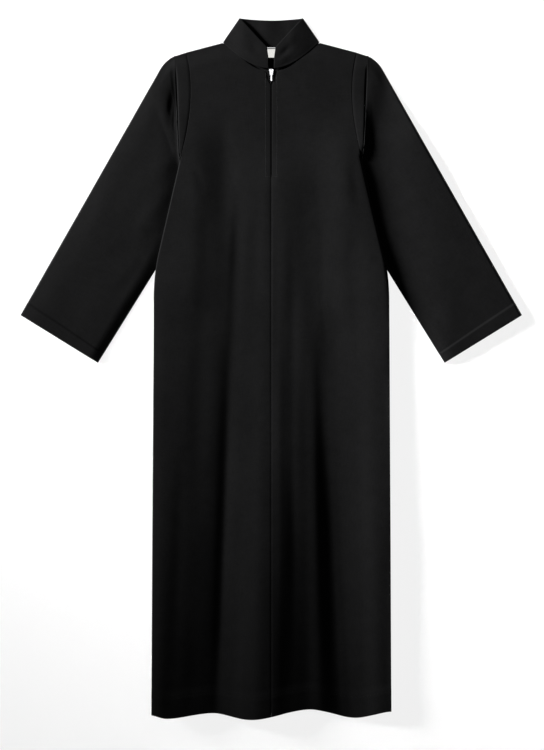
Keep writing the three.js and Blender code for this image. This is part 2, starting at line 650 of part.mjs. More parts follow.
// A plate of the slider, seen from above: wide shoulders, narrow tail. Its head is at y = 0.
function sliderPlate(height, floor) {
  const outline = new THREE.Shape();
  outline.moveTo(-SLIDER_HEAD_HALF + 1.4, 0);
  outline.lineTo(SLIDER_HEAD_HALF - 1.4, 0);
  outline.quadraticCurveTo(SLIDER_HEAD_HALF, -0.4, SLIDER_HEAD_HALF, -2.4);
  outline.lineTo(SLIDER_TAIL_HALF, -7.5);
  outline.lineTo(SLIDER_TAIL_HALF, -SLIDER_LENGTH + 0.8);
  outline.quadraticCurveTo(SLIDER_TAIL_HALF, -SLIDER_LENGTH, SLIDER_TAIL_HALF - 0.8, -SLIDER_LENGTH);
  outline.lineTo(-SLIDER_TAIL_HALF + 0.8, -SLIDER_LENGTH);
  outline.quadraticCurveTo(-SLIDER_TAIL_HALF, -SLIDER_LENGTH, -SLIDER_TAIL_HALF, -SLIDER_LENGTH + 0.8);
  outline.lineTo(-SLIDER_TAIL_HALF, -7.5);
  outline.lineTo(-SLIDER_HEAD_HALF, -2.4);
  outline.quadraticCurveTo(-SLIDER_HEAD_HALF, -0.4, -SLIDER_HEAD_HALF + 1.4, 0);
  const plate = new THREE.ExtrudeGeometry(outline, { depth: height, bevelEnabled: false, curveSegments: 3 });
  return plate.translate(0, 0, floor);
}

const UPPER_PLATE_FLOOR = zipHeight + PLATE_CLEAR;
const UPPER_PLATE_TOP = UPPER_PLATE_FLOOR + PLATE;
const LOWER_PLATE_FLOOR = zipHeight - 3 * SEAM - COIL_HEIGHT - PLATE;
const PIVOT = new THREE.Vector3(0, -SLIDER_DROP - PIVOT_BEHIND, UPPER_PLATE_TOP + PIVOT_OVER);

// The slider: two plates round the tapes, the post that parts them, and the bridge that holds the pull.
function sliderGeometry() {
  const post = new THREE.BoxGeometry(1.8, 3, UPPER_PLATE_FLOOR - LOWER_PLATE_FLOOR);
  post.translate(0, -1.9, (UPPER_PLATE_FLOOR + LOWER_PLATE_FLOOR) / 2);
  const arch = new THREE.Shape();
  const rise = BRIDGE_CLEAR + BRIDGE_WALL;
  const inside = BRIDGE_FRONT - BRIDGE_WALL;
  arch.moveTo(BRIDGE_BACK, -0.4);
  arch.lineTo(BRIDGE_BACK + BRIDGE_WALL, -0.4);
  arch.lineTo(BRIDGE_BACK + BRIDGE_WALL, BRIDGE_CLEAR - 0.6);
  arch.quadraticCurveTo(BRIDGE_BACK + BRIDGE_WALL, BRIDGE_CLEAR, BRIDGE_BACK + 2.2, BRIDGE_CLEAR);
  arch.lineTo(BRIDGE_FRONT - 2.2, BRIDGE_CLEAR);
  arch.quadraticCurveTo(inside, BRIDGE_CLEAR, inside, BRIDGE_CLEAR - 0.6);
  arch.lineTo(inside, -0.4);
  arch.lineTo(BRIDGE_FRONT, -0.4);
  arch.lineTo(BRIDGE_FRONT, rise - 1.6);
  arch.quadraticCurveTo(BRIDGE_FRONT, rise, BRIDGE_FRONT - 2, rise);
  arch.lineTo(BRIDGE_BACK + 2, rise);
  arch.quadraticCurveTo(BRIDGE_BACK, rise, BRIDGE_BACK, rise - 1.6);
  arch.lineTo(BRIDGE_BACK, -0.4);
  const bridge = new THREE.ExtrudeGeometry(arch, {
    depth: 2 * BRIDGE_HALF,
    bevelEnabled: false,
    curveSegments: 4,
  });
  bridge.translate(0, 0, -BRIDGE_HALF);
  bridge.applyMatrix4(new THREE.Matrix4().set(0, 0, 1, 0, 1, 0, 0, 0, 0, 1, 0, UPPER_PLATE_TOP, 0, 0, 0, 1));
  return geometryOf([
    sliderPlate(PLATE, LOWER_PLATE_FLOOR), post, bridge,
  ].map(solidOf).reduce((whole, piece) => whole.add(piece), solidOf(sliderPlate(PLATE, UPPER_PLATE_FLOOR))));
}

// The pull tab, from its crossbar at the pivot: a slotted head and a slim stem with a rounded end.
function pullGeometry() {
  const outline = new THREE.Shape();
  const headHalf = PULL_HEAD_HALF;
  const stemHalf = PULL_STEM_HALF;
  outline.moveTo(-headHalf + 0.6, 0.7);
  outline.lineTo(headHalf - 0.6, 0.7);
  outline.quadraticCurveTo(headHalf, 0.7, headHalf, 0.1);
  outline.lineTo(headHalf, -7);
  outline.quadraticCurveTo(headHalf - 0.1, -9, stemHalf, -11);
  outline.absarc(0, -PULL_LENGTH + 2.4, stemHalf + 0.3, 0, -Math.PI, true);
  outline.lineTo(-stemHalf, -11);
  outline.quadraticCurveTo(-headHalf + 0.1, -9, -headHalf, -7);
  outline.lineTo(-headHalf, 0.1);
  outline.quadraticCurveTo(-headHalf, 0.7, -headHalf + 0.6, 0.7);
  const slot = new THREE.Path();
  const slotHalf = BRIDGE_HALF + 0.35;
  slot.moveTo(-slotHalf, -0.6);
  slot.lineTo(-slotHalf, -6.6);
  slot.lineTo(slotHalf, -6.6);
  slot.lineTo(slotHalf, -0.6);
  outline.holes.push(slot);
  const tab = new THREE.ExtrudeGeometry(outline, { depth: PULL_WALL, bevelEnabled: false, curveSegments: 4 });
  return tab.translate(0, 0, -PULL_WALL / 2);
}

// A plain woven label, sewn at the back neck and lying on the inside of the back.
function labelGeometry() {
  const top = BACK_NECK_DROP + LABEL_BELOW_NECK;
  const drops = [top, top + LABEL_DEPTH / 2, top + LABEL_DEPTH];
  const grid = (lift) => drops.map((drop) => [-LABEL_HALF, 0, LABEL_HALF].map((across) => (
    new THREE.Vector3(across, -drop, backUnder(across, drop) + CLOTH + SEAM + lift)
  )));
  return wallGeometry(grid(TAPE_WALL), grid(0));
}

function piece(name, geometry, material) {
  const mesh = new THREE.Mesh(geometry, material);
  mesh.name = name;
  return mesh;
}

const cassock = new THREE.Group();
cassock.add(piece('back', backGeometry(), twill));
for (const { word, side } of [{ word: 'left', side: 1 }, { word: 'right', side: -1 }]) {
  cassock.add(piece(`front_${word}`, frontGeometry(side), twill));
  cassock.add(piece(`sleeve_${word}`, sleeveGeometry(side), twill));
  const [near, far] = side > 0 ? [TAPE_INNER, TAPE_OUTER] : [-TAPE_OUTER, -TAPE_INNER];
  const tape = underFrontStrip(near, far, FRONT_NECK_DROP + 1, TAPE_WALL, SEAM);
  cassock.add(piece(`zip_tape_${word}`, tape, tapeWeave));
}
cassock.add(piece('collar', collarGeometry(), collarTwill));
const coilTop = SLIDER_DROP + SLIDER_LENGTH - 5;
const coil = underFrontStrip(-COIL_HALF, COIL_HALF, coilTop, COIL_HEIGHT, SEAM);
cassock.add(piece('zip_coil', coil, coilNylon));
cassock.add(piece('neck_label', labelGeometry(), labelSatin));

const slider = piece('zip_slider', sliderGeometry(), zipMetal);
slider.position.y = -SLIDER_DROP;
cassock.add(slider);
const pull = piece('zip_pull', pullGeometry(), zipMetal);
pull.position.copy(PIVOT);
cassock.add(pull);

// The frame's origin is the middle of the cassock's length and width, on the surface it lies on.
const frame = new THREE.Group();
const box = new THREE.Box3().setFromObject(cassock);
cassock.position.set(-(box.min.x + box.max.x) / 2, -(box.min.y + box.max.y) / 2, 0);
frame.add(cassock);

export default frame;
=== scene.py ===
import math

import bpy
import numpy as np
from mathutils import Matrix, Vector


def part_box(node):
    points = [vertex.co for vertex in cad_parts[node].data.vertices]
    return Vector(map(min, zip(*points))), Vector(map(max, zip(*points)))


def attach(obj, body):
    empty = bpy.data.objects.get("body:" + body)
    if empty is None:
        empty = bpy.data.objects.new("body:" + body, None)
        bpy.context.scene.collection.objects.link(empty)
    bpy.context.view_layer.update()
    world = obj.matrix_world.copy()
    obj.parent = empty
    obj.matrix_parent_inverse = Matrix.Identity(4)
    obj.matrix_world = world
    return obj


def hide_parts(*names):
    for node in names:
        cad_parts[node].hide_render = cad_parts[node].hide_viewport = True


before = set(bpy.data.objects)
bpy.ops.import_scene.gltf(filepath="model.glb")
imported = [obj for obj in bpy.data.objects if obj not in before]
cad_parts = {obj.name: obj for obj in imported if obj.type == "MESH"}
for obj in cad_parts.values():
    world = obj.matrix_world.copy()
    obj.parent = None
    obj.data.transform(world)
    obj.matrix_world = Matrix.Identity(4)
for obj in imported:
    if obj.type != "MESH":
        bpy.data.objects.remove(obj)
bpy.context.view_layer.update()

bl_info = {
    "name": "Cassock Laid Flat",
    "version": (1, 0, 0),
    "blender": (4, 5, 0),
    "location": "View3D > Sidebar > Cassock",
    "description": "Sews the cloth, zip and label of a cassock over its fixed frame",
    "category": "Object",
}

MM = 0.001
BODY = "cassock"

# Plan sizes in millimetres: half widths from the centre line and drops below the neck point. They are the
# frame's own, so that each shell lies on its solid.
SLIDER_DROP = 58.5
NECK_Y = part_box("zip_slider")[1].y / MM + SLIDER_DROP
WALL = 1.2
FRONT_WALL = 1.15
GAP = 0.3
NECK_HALF = 107
SHOULDER = (187, 21)
UNDERARM = (199, 253)
HIP = (258, 560)
HEM = (262, 1471)
HEM_DEPTH = 44
TURN_SLOPE = 16
NECK_DROP_FRONT = 59
NECK_DROP_BACK = 11
FLARE_HALF = 27
ZIP_END = 292
COIL_START = 66
TUCK_LIFT = 2 * WALL + GAP + 3.6
CHEST_LOFT = 4
FOLDS_WAIST = 630
SWAY_REACH = 260

# The camera's view: its height in metres on the floor, and the drop of its middle in millimetres
VIEW_HEIGHT = 1.65
VIEW_DROP = 730

SLEEVE_TILT = math.radians(31.7)
CUFF_OUTER = np.array((551.0, -598.0))
CUFF_INNER = CUFF_OUTER - 200 * np.array((math.cos(SLEEVE_TILT), math.sin(SLEEVE_TILT)))
CUFF_DEPTH = 30
SLEEVE_LOFT = 8.5

COLLAR_WALL = 3
COLLAR_TOP_HALF = 68
COLLAR_RISE = 53.5
COLLAR_BACK_DIP = 4.5
COLLAR_LOFT = 8.5
COLLAR_TOP_GAP = 9.0
COLLAR_TOP_DROP = 10.5

# Fold lines of the front: half width at the waist, half width at the hem, then heights down the skirt
FOLD_DROPS = (300, 450, 630, 850, 1100, 1400)
FOLDS = (
    ("right side", -262, -264, 2, 2, 9, 18, 27, 30),
    ("right roll", -240, -243, 1, 2, 11, 19, 30, 32),
    ("right crest", -212, -222, 0, 2, 11, 18, 29, 29),
    ("right fall", -180, -196, 0, 2, 10, 16, 25, 25),
    ("right ledge", -150, -175, 0, 1, 8, 13, 22, 21),
    ("right step", -122, -154, 0, 2, 6, 11, 19, 18),
    ("right foot", -100, -136, 1, 2, 4, 8, 16, 15),
    ("right valley", -84, -118, 2, 0, 2, 5, 13, 12),
    ("middle foot", -60, -88, 3, 1, 3, 7, 17, 18),
    ("middle rise", -38, -58, 4, 1, 4, 9, 22, 28),
    ("middle crest", -18, -32, 5, 2, 5, 11, 26, 34),
    ("centre", 0, -8, 5, 2, 5, 11, 26, 33),
    ("seam ridge", 14, 12, 6, 2, 4, 11, 24, 30),
    ("seam trough", 31, 32, 6, 3, 4, 10, 21, 24),
    ("middle fall", 52, 55, 6, 2, 3, 9, 16, 19),
    ("middle ledge", 72, 80, 6, 1, 3, 7, 13, 14),
    ("left fall", 90, 108, 6, 1, 2, 6, 11, 12),
    ("left valley", 106, 136, 6, 1, 1, 2, 3, 3),
    ("left valley foot", 121, 151, 6, 0, 0, 0, 0, 0),
    ("left rise", 145, 172, 5, 0, 1, 1, 1, 0),
    ("left slope", 180, 205, 5, 0, 6, 6, 8, 7),
    ("left shoulder", 220, 235, 3, 3, 13, 14, 19, 19),
    ("left side", 262, 264, 0, 3, 16, 18, 22, 22),
)

# How far each pressed side edge stands off the floor: drop, right, left
SIDE_EDGES = ((470, 0, 4), (560, 2, 14), (630, 3, 20), (850, 9, 22), (1100, 16, 26), (1471, 20, 26))

# The hem's own line: half width and how far the hem sways down
HEM_SWAY = ((-264, -1), (-226, 7), (-133, -2), (-51, 9), (84, -10), (182, 11), (264, -7))

# Creases of the front: start and end as (across, drop), bow to the side, width and height in millimetres
FRONT_CREASES = (
    ("chest, right", -104, 130, -90, 520, 4, 24, -1.0),
    ("chest, left", 84, 240, 96, 640, 3, 24, -0.9),
    ("chest, left, outer", 150, 380, 158, 900, 6, 34, 1.0),
    ("waist, right", -150, 470, -176, 1020, 5, 22, -1.0),
    ("beside the seam, ridge", 17, 330, 19, 1440, 0, 9, 1.1),
    ("beside the seam, trough", 45, 420, 46, 1460, 1, 10, -1.2),
    ("right valley, sharp", -96, 640, -122, 1465, 3, 12, -2.2),
    ("left valley, sharp", 106, 640, 140, 1465, -3, 13, -2.0),
    ("right fall, sharp", -196, 880, -214, 1465, -2, 14, -1.2),
    ("armhole drag, right", -176, 262, -150, 330, 3, 9, -0.7),
    ("armhole drag, left", 178, 262, 196, 372, -3, 11, -0.9),
    ("neck, left", 30, 66, 74, 96, 3, 9, -0.4),
)

# Creases of the sleeves, in the sleeve's own measure: start and end as (across share, length down)
SLEEVE_CREASES = (
    ("underarm drag, high", 0.80, 26, 0.46, 190, 10, 13, 0.9),
    ("underarm drag, low", 0.90, 90, 0.66, 330, -12, 14, 0.9),
    ("head, first dent", 0.40, 12, 0.46, 48, 3, 9, -0.9),
    ("head, second dent", 0.56, 10, 0.62, 44, 2, 8, -0.8),
    ("head, third dent", 0.72, 12, 0.80, 42, 2, 8, -0.8),
    ("elbow", 0.96, 250, 0.50, 400, 14, 22, -1.0),
    ("crossing drag", 0.98, 190, 0.74, 300, 5, 8, -1.0),
    ("forearm", 0.18, 300, 0.36, 520, -10, 24, 0.8),
    ("lower edge", 0.86, 330, 0.80, 470, 4, 14, -1.0),
)


def ramp(value, start, end):
    """0 below start, 1 above end, and a smooth rise between."""
    t = np.clip((value - start) / (end - start), 0, 1)
    return t * t * (3 - 2 * t)


def lerp(a, b, t):
    return a + (b - a) * t


def bezier(*points, steps=60):
    """Points of a quadratic or cubic curve, as rows."""
    t = np.linspace(0, 1, steps)[:, None]
    p = [np.array(q, float) for q in points]
    if len(p) == 3:
        return (1 - t) ** 2 * p[0] + 2 * t * (1 - t) * p[1] + t**2 * p[2]
    return (1 - t) ** 3 * p[0] + 3 * t * (1 - t) ** 2 * p[1] + 3 * t**2 * (1 - t) * p[2] + t**3 * p[3]


def at(curve, t):
    """A point of a curve of rows by its share of the rows, as bezier() spaced them."""
    k = np.clip(t, 0, 1) * (len(curve) - 1)
    return np.stack([np.interp(k, np.arange(len(curve)), curve[:, i]) for i in range(curve.shape[1])], -1)


def along(curve, t):
    """A point of a curve of rows by its share of the length."""
    steps = np.concatenate([[0], np.cumsum(np.hypot(*np.diff(curve[:, :2], axis=0).T))])
    s = np.clip(t, 0, 1) * steps[-1]
    return np.stack([np.interp(s, steps, curve[:, i]) for i in range(curve.shape[1])], -1)


ARMHOLE = bezier((187, 21), (166, 95), (180, 190), (199, 253))
SIDE_LOW = np.vstack([[(249, 470)], bezier((249, 470), (257, 508), HIP)[1:], [HEM]])
BODY_SIDE = np.vstack([[(NECK_HALF, 0)], ARMHOLE, SIDE_LOW])
SIDE_ONLY = np.vstack([[(187, 0)], [UNDERARM], SIDE_LOW])
NECKLINE = bezier((NECK_HALF, 0), (50, 58), (FLARE_HALF, NECK_DROP_FRONT))
FRONT_EDGE = np.vstack([
    bezier((FLARE_HALF, 59), (11, 60), (10.4, 70)),
    bezier((10.4, 70), (9.5, 83), (1.2, 92))[1:],
    [(1.2, ZIP_END), (0.02, ZIP_END + 5), (0.02, HEM[1])],
])


def half_at(outline, drop):
    return np.interp(drop, outline[:, 1], outline[:, 0])


def hem_turn(drop):
    return np.clip((drop - (HEM[1] - HEM_DEPTH - TURN_SLOPE)) / TURN_SLOPE, 0, 1)


def back_wall(drop):
    return WALL * (1 + hem_turn(drop))


def side_edge(across, drop):
    """Height of the nearer side edge over the floor."""
    drops, right, left = np.array(SIDE_EDGES, float).T
    heights = np.where(across < 0, np.interp(drop, drops, right), np.interp(drop, drops, left))
    return heights * ramp(drop, drops[0] - 60, drops[0] + 60)


def tucked_lift(across, drop):
    """How far the tucked sleeve seams raise the body beside them."""
    lift = ramp(drop, 125, 235) * (1 - ramp(drop, 520, 640))
    return TUCK_LIFT * lift * ramp(np.abs(across), 95, 172)


def back_under(across, drop):
    near = np.clip(1 - (half_at(SIDE_ONLY, drop) - np.abs(across)) / 60, 0, 1)
    return tucked_lift(across, drop) + side_edge(across, drop) * near**2.2


def curve_through(place, positions, values):
    """A smooth curve through the values of a table, read at place."""
    count = len(positions)
    slopes = []
    for i in range(count):
        low, high = max(i - 1, 0), min(i + 1, count - 1)
        slopes.append((values[high] - values[low]) / (positions[high] - positions[low]))
    total = np.where(place < positions[0], values[0], 0.0)
    for i in range(count - 1):
        span = positions[i + 1] - positions[i]
        t = np.clip((place - positions[i]) / span, 0, 1)
        rise = t * t * (3 - 2 * t)
        piece = lerp(values[i], values[i + 1], rise)
        piece = piece + span * t * (1 - t) * ((1 - t) * slopes[i] - t * slopes[i + 1])
        here = (place >= positions[i]) & ((place < positions[i + 1]) | (i == count - 2))
        total = np.where(here, piece, total)
    return total


def swing(across, positions, values):
    """A value that swings smoothly from one line of a table to the next."""
    total = values[0] + 0 * across
    for i in range(len(values) - 1):
        total = total + (values[i + 1] - values[i]) * ramp(across, positions[i], positions[i + 1])
    return total


def fold_height(across, drop):
    spread = (drop - FOLDS_WAIST) / (HEM[1] - FOLDS_WAIST)
    positions = [lerp(row[1], row[2], spread) for row in FOLDS]
    down = np.clip(drop, FOLD_DROPS[0], FOLD_DROPS[-1])
    heights = [curve_through(down, FOLD_DROPS, row[3:]) for row in FOLDS]
    return ramp(drop, 190, 320) * np.maximum(curve_through(across, positions, heights), 0)


def front_free(across, drop):
    half = np.abs(across)
    reach = np.where(across < 0, 1.5, lerp(5, 8, ramp(drop, SIDE_EDGES[0][0], SIDE_EDGES[1][0])))
    side = ramp((half_at(SIDE_ONLY, drop) - half) / reach, 0, 1)
    kept = 1 - np.where(across < 0, ramp(drop, 240, 275), ramp(drop, 130, UNDERARM[1]))
    shoulder = np.maximum(SHOULDER[1] * (half - NECK_HALF) / (SHOULDER[0] - NECK_HALF), 0)
    return ramp(drop - shoulder, 0, 42) * lerp(side, 1, kept)


def front_under(across, drop):
    free = front_free(across, drop)
    resting = tucked_lift(across, drop) + side_edge(across, drop) * (1 - free)
    return resting + back_wall(drop) + GAP + free * (CHEST_LOFT + fold_height(across, drop))


def front_over(across, drop):
    return front_under(across, drop) + back_wall(drop)


def swayed(across, drop):
    share = ramp(drop, HEM[1] - SWAY_REACH, HEM[1])
    return drop + share * swing(across, [row[0] for row in HEM_SWAY], [row[1] for row in HEM_SWAY])


def creased(across, drop, creases):
    """Height of soft creases: each is strongest at its middle, fades to its ends and bows to one side."""
    total = 0 * across
    for _, x0, d0, x1, d1, bow, width, height in creases:
        run = np.array((x1 - x0, d1 - d0), float)
        length = np.hypot(*run)
        ex, ey = run / length
        t = ((across - x0) * ex + (drop - d0) * ey) / length
        side = (across - x0) * ey - (drop - d0) * ex
        inside = np.clip(t, 0, 1)
        fade = np.where((t > 0) & (t < 1), np.sin(math.pi * inside) ** 0.8, 0)
        total = total + height * fade * np.exp(-(((side - bow * 4 * inside * (1 - inside)) / width) ** 2))
    return total


def rumple(across, drop, seed, size, height):
    """A gentle uneven surface from a few long waves."""
    rng = np.random.default_rng(seed)
    total = 0 * across
    for _ in range(10):
        turn = rng.normal(0, 0.55)
        length = size * rng.uniform(0.6, 1.8)
        wave = 2 * math.pi / length
        total = total + np.sin(wave * (across * math.cos(turn) + drop * math.sin(turn)) + rng.uniform(0, 6.3))
    return total * height / 10 ** 0.5


def hem_groove(drop, line, depth):
    """A shallow line of sewing, with the cloth a little raised below it."""
    ridge = 0.35 * depth * np.exp(-(((drop - line - 4) / 3) ** 2))
    return -depth * np.exp(-(((drop - line) / 1.6) ** 2)) + ridge


# Meshes

def mesh_object(name, points, faces, material, smooth=True):
    """A mesh object from points in millimetres in the neck-point frame, and faces of vertex numbers."""
    points = np.asarray(points, float).reshape(-1, 3)
    world = np.column_stack([points[:, 0], points[:, 1] + NECK_Y, points[:, 2]]) * MM
    mesh = bpy.data.meshes.new(name)
    faces = np.asarray(faces, np.int32)
    sides = faces.shape[1]
    mesh.vertices.add(len(world))
    mesh.vertices.foreach_set("co", world.astype(np.float32).ravel())
    mesh.loops.add(faces.size)
    mesh.loops.foreach_set("vertex_index", faces.ravel())
    mesh.polygons.add(len(faces))
    mesh.polygons.foreach_set("loop_start", np.arange(len(faces), dtype=np.int32) * sides)
    mesh.polygons.foreach_set("use_smooth", np.full(len(faces), smooth))
    mesh.update(calc_edges=True)
    mesh.validate()
    thing = bpy.data.objects.new(name, mesh)
    bpy.context.scene.collection.objects.link(thing)
    if material:
        mesh.materials.append(material)
    return thing


def grid_faces(rows, columns, around=False, flip=False):
    r, c = np.meshgrid(np.arange(rows - 1), np.arange(columns if around else columns - 1), indexing="ij")
    right = (c + 1) % columns
    here, below = r * columns, (r + 1) * columns
    quads = np.stack([here + c, below + c, below + right, here + right], -1)
    quads = quads.reshape(-1, 4)
    return quads[:, ::-1] if flip else quads


def graded(length, step, edge, wall):
    """Distances from 0 to length, close together at both ends for a rounded edge of that wall."""
    near = wall / 2 * (1 - np.cos(np.radians((0, 30, 60, 90))))
    near = np.concatenate([near, [wall * 0.9, wall * 1.7, wall * 3]])
    middle = np.linspace(edge, length - edge, max(2, int((length - 2 * edge) / step)))
    return np.concatenate([near[near < edge], middle, (length - near[near < edge])[::-1]])


def round_edge(distance, wall):
    """Share of the wall kept at a distance from its edge, so that the edge is round."""
    t = np.clip(distance / (wall / 2), 0, 1)
    return np.sqrt(np.clip(1 - (1 - t) ** 2, 0, 1))


def shell(name, plan_x, plan_y, over, under, from_edge, material, flip):
    """A closed shell of cloth between two heights over one plan, its rim round."""
    share = round_edge(from_edge, WALL)
    middle = (over + under) / 2
    top = middle + (over - middle) * share
    base = middle - (middle - under) * share
    rows, columns = over.shape
    points = np.concatenate([
        np.stack([plan_x, plan_y, top], -1).reshape(-1, 3),
        np.stack([plan_x, plan_y, base], -1).reshape(-1, 3),
    ])
    count = rows * columns
    faces = np.concatenate([
        grid_faces(rows, columns, flip=flip),
        grid_faces(rows, columns, flip=not flip) + count,
    ])
    rim = np.zeros((rows, columns), bool)
    rim[[0, -1], :] = True
    rim[:, [0, -1]] = True
    numbers = np.arange(2 * count)
    numbers[count:][rim.ravel()] = numbers[:count][rim.ravel()]
    faces = numbers[faces]
    used, compact = np.unique(faces, return_inverse=True)
    return mesh_object(name, points[used], compact.reshape(-1, 4), material)


def panel_plan(half_from, half_to, top_drop, columns, rows, level):
    """Plan of a panel: rows follow its top edge and even out to level lines by a drop of 190."""
    first = rows[0]
    flat = ramp(rows, first, 190)[:, None]
    top = top_drop(lerp(half_from(first), half_to(level), columns))[None, :]
    drop = rows[:, None] + (top - first) * (1 - flat)
    inner = half_from(drop[:, 0])[:, None]
    outer = half_to(drop[:, -1])[:, None]
    return lerp(inner, outer, columns[None, :]), drop


def edge_distance(across, drop):
    rows = np.minimum(np.abs(drop - drop[:1]), np.abs(drop[-1:] - drop))
    columns = np.minimum(np.abs(across - across[:, :1]), np.abs(across[:, -1:] - across))
    return np.minimum(rows, columns)


def seam_roll(distance, depth=0.7, reach=2.6):
    """How far a sewn edge turns down into its seam."""
    return -depth * np.exp(-((distance / reach) ** 2))


def front_surface(across, drop):
    """Top of a front panel with its creases, in the frame's own height."""
    creases = creased(across, drop, FRONT_CREASES) + rumple(across, drop, 4, 120, 0.45)
    free = np.clip(front_free(across, drop), 0.12, 1)
    return front_over(across, drop) + creases * free + hem_groove(drop, HEM[1] - HEM_DEPTH, 0.5)


def front_top_drop(half):
    neck = np.interp(half, NECKLINE[::-1, 0], NECKLINE[::-1, 1])
    shoulder = SHOULDER[1] * (half - NECK_HALF) / (SHOULDER[0] - NECK_HALF)
    return np.where(half <= NECK_HALF, neck, shoulder)


def front_grid(step):
    """Plan of one front panel: half widths and drops."""
    rows = NECK_DROP_FRONT + np.concatenate([
        graded(40, 1.6, 2, WALL)[:-7],
        np.linspace(40, HEM[1] - NECK_DROP_FRONT - 60, int(1300 / step)),
        HEM[1] - NECK_DROP_FRONT - 60 + graded(60, 2.5, 2, WALL)[7:],
    ])
    columns = graded(230, step, 4, WALL) / 230
    return panel_plan(
        lambda d: half_at(FRONT_EDGE, d),
        lambda d: half_at(BODY_SIDE, d),
        front_top_drop, columns, rows, SHOULDER[1],
    )


def make_front(side, word, step, material):
    across, drop = front_grid(step)
    signed = side * across
    over = front_surface(signed, drop)
    to_seam = across - half_at(FRONT_EDGE, drop)
    below_zip = ramp(drop, ZIP_END - 6, ZIP_END + 10)
    over = over + seam_roll(to_seam, 0.55) * lerp(0.5, 1, below_zip)
    under = over - FRONT_WALL
    floor = back_under(signed, drop) + back_wall(drop) + 0.15
    over = np.maximum(over, floor + 1.0)
    under = np.maximum(under, floor)
    plan_y = -swayed(signed, drop)
    from_edge = edge_distance(across, drop)
    return shell(f"front_panel_{word}", signed, plan_y, over, under, from_edge, material, side < 0)


def make_back(step, material):
    def top_drop(half):
        neck = NECK_DROP_BACK * (1 - (half / NECK_HALF) ** 2)
        shoulder = SHOULDER[1] * (np.abs(half) - NECK_HALF) / (SHOULDER[0] - NECK_HALF)
        return np.where(np.abs(half) <= NECK_HALF, neck, shoulder)

    rows = NECK_DROP_BACK + np.concatenate([
        graded(40, 4, 3, WALL)[:-7],
        np.linspace(40, HEM[1] - NECK_DROP_BACK - 60, int(1300 / step)),
        HEM[1] - NECK_DROP_BACK - 60 + graded(60, 4, 3, WALL)[7:],
    ])
    columns = graded(520, step, 5, WALL) / 520
    first = rows[0]
    flat = ramp(rows, first, 190)[:, None]
    top = top_drop(lerp(-SHOULDER[0], SHOULDER[0], columns))[None, :]
    drop = rows[:, None] + (top - first) * (1 - flat)
    half = half_at(BODY_SIDE, drop[:, -1])[:, None]
    across = lerp(-half, half, columns[None, :])
    under = back_under(across, drop)
    over = under + back_wall(drop) + hem_groove(drop, HEM[1] - HEM_DEPTH, 0.25)
    over = np.minimum(over, under + np.maximum(back_wall(drop), 1.0))
    from_edge = edge_distance(across, drop)
    return shell("back_panel", across, -swayed(across, drop), over, under, from_edge, material, True)


# Sleeves

HEAD_FOLD = bezier((209.5, 28.3), (205, 110), (200.6, 254))
FOLD_FOOT = bezier((215.5, 31), (212, 110), (199, 267))
SLEEVE_TOP = np.vstack([bezier((215.5, 31), (234, 39), (245.5, 60)), [(551, 598)]])
SLEEVE_LOW = np.vstack([
    bezier((199, 267), (188, 312), (176, 372), (203, 416)),
    [(CUFF_INNER[0], -CUFF_INNER[1])],
])
CUFF_LINE = np.array([(551, 598), (CUFF_INNER[0], -CUFF_INNER[1])])
SLEEVE_LENGTH = 640
SLEEVE_WIDTH = 200

# The groove beyond the head's fold: distances from the fold, and shares of its depth
HEAD_GROOVE = ((0.55, 0.12), (0.95, 0.5), (1.15, 1), (1.9, 1), (2.5, 0.75), (3.2, 0.3), (4.2, 0.08))

# Loft of the left sleeve beside the body: distances from the body's side edge, and heights there
BESIDE_BODY = ((0, 4, 12, 20, 30, 42, 75, 125), (3.2, 5.3, 3.6, 2.3, 1.6, 1.5, 3.2, 7.0))


def sleeve_plan(down, across):
    """Plan of the sleeve below its head fold: down is the share of its length, across of its width."""
    d, a = np.meshgrid(down, across, indexing="ij")
    d, a = d[..., None], a[..., None]
    ends = at(FOLD_FOOT, across)[None] * (1 - d) + at(CUFF_LINE, across)[None] * d
    sides = along(SLEEVE_TOP, down)[:, None] * (1 - a) + along(SLEEVE_LOW, down)[:, None] * a
    head = SLEEVE_TOP[0] * (1 - a) + SLEEVE_LOW[0] * a
    cuff = CUFF_LINE[0] * (1 - a) + CUFF_LINE[1] * a
    return ends + sides - head * (1 - d) - cuff * d


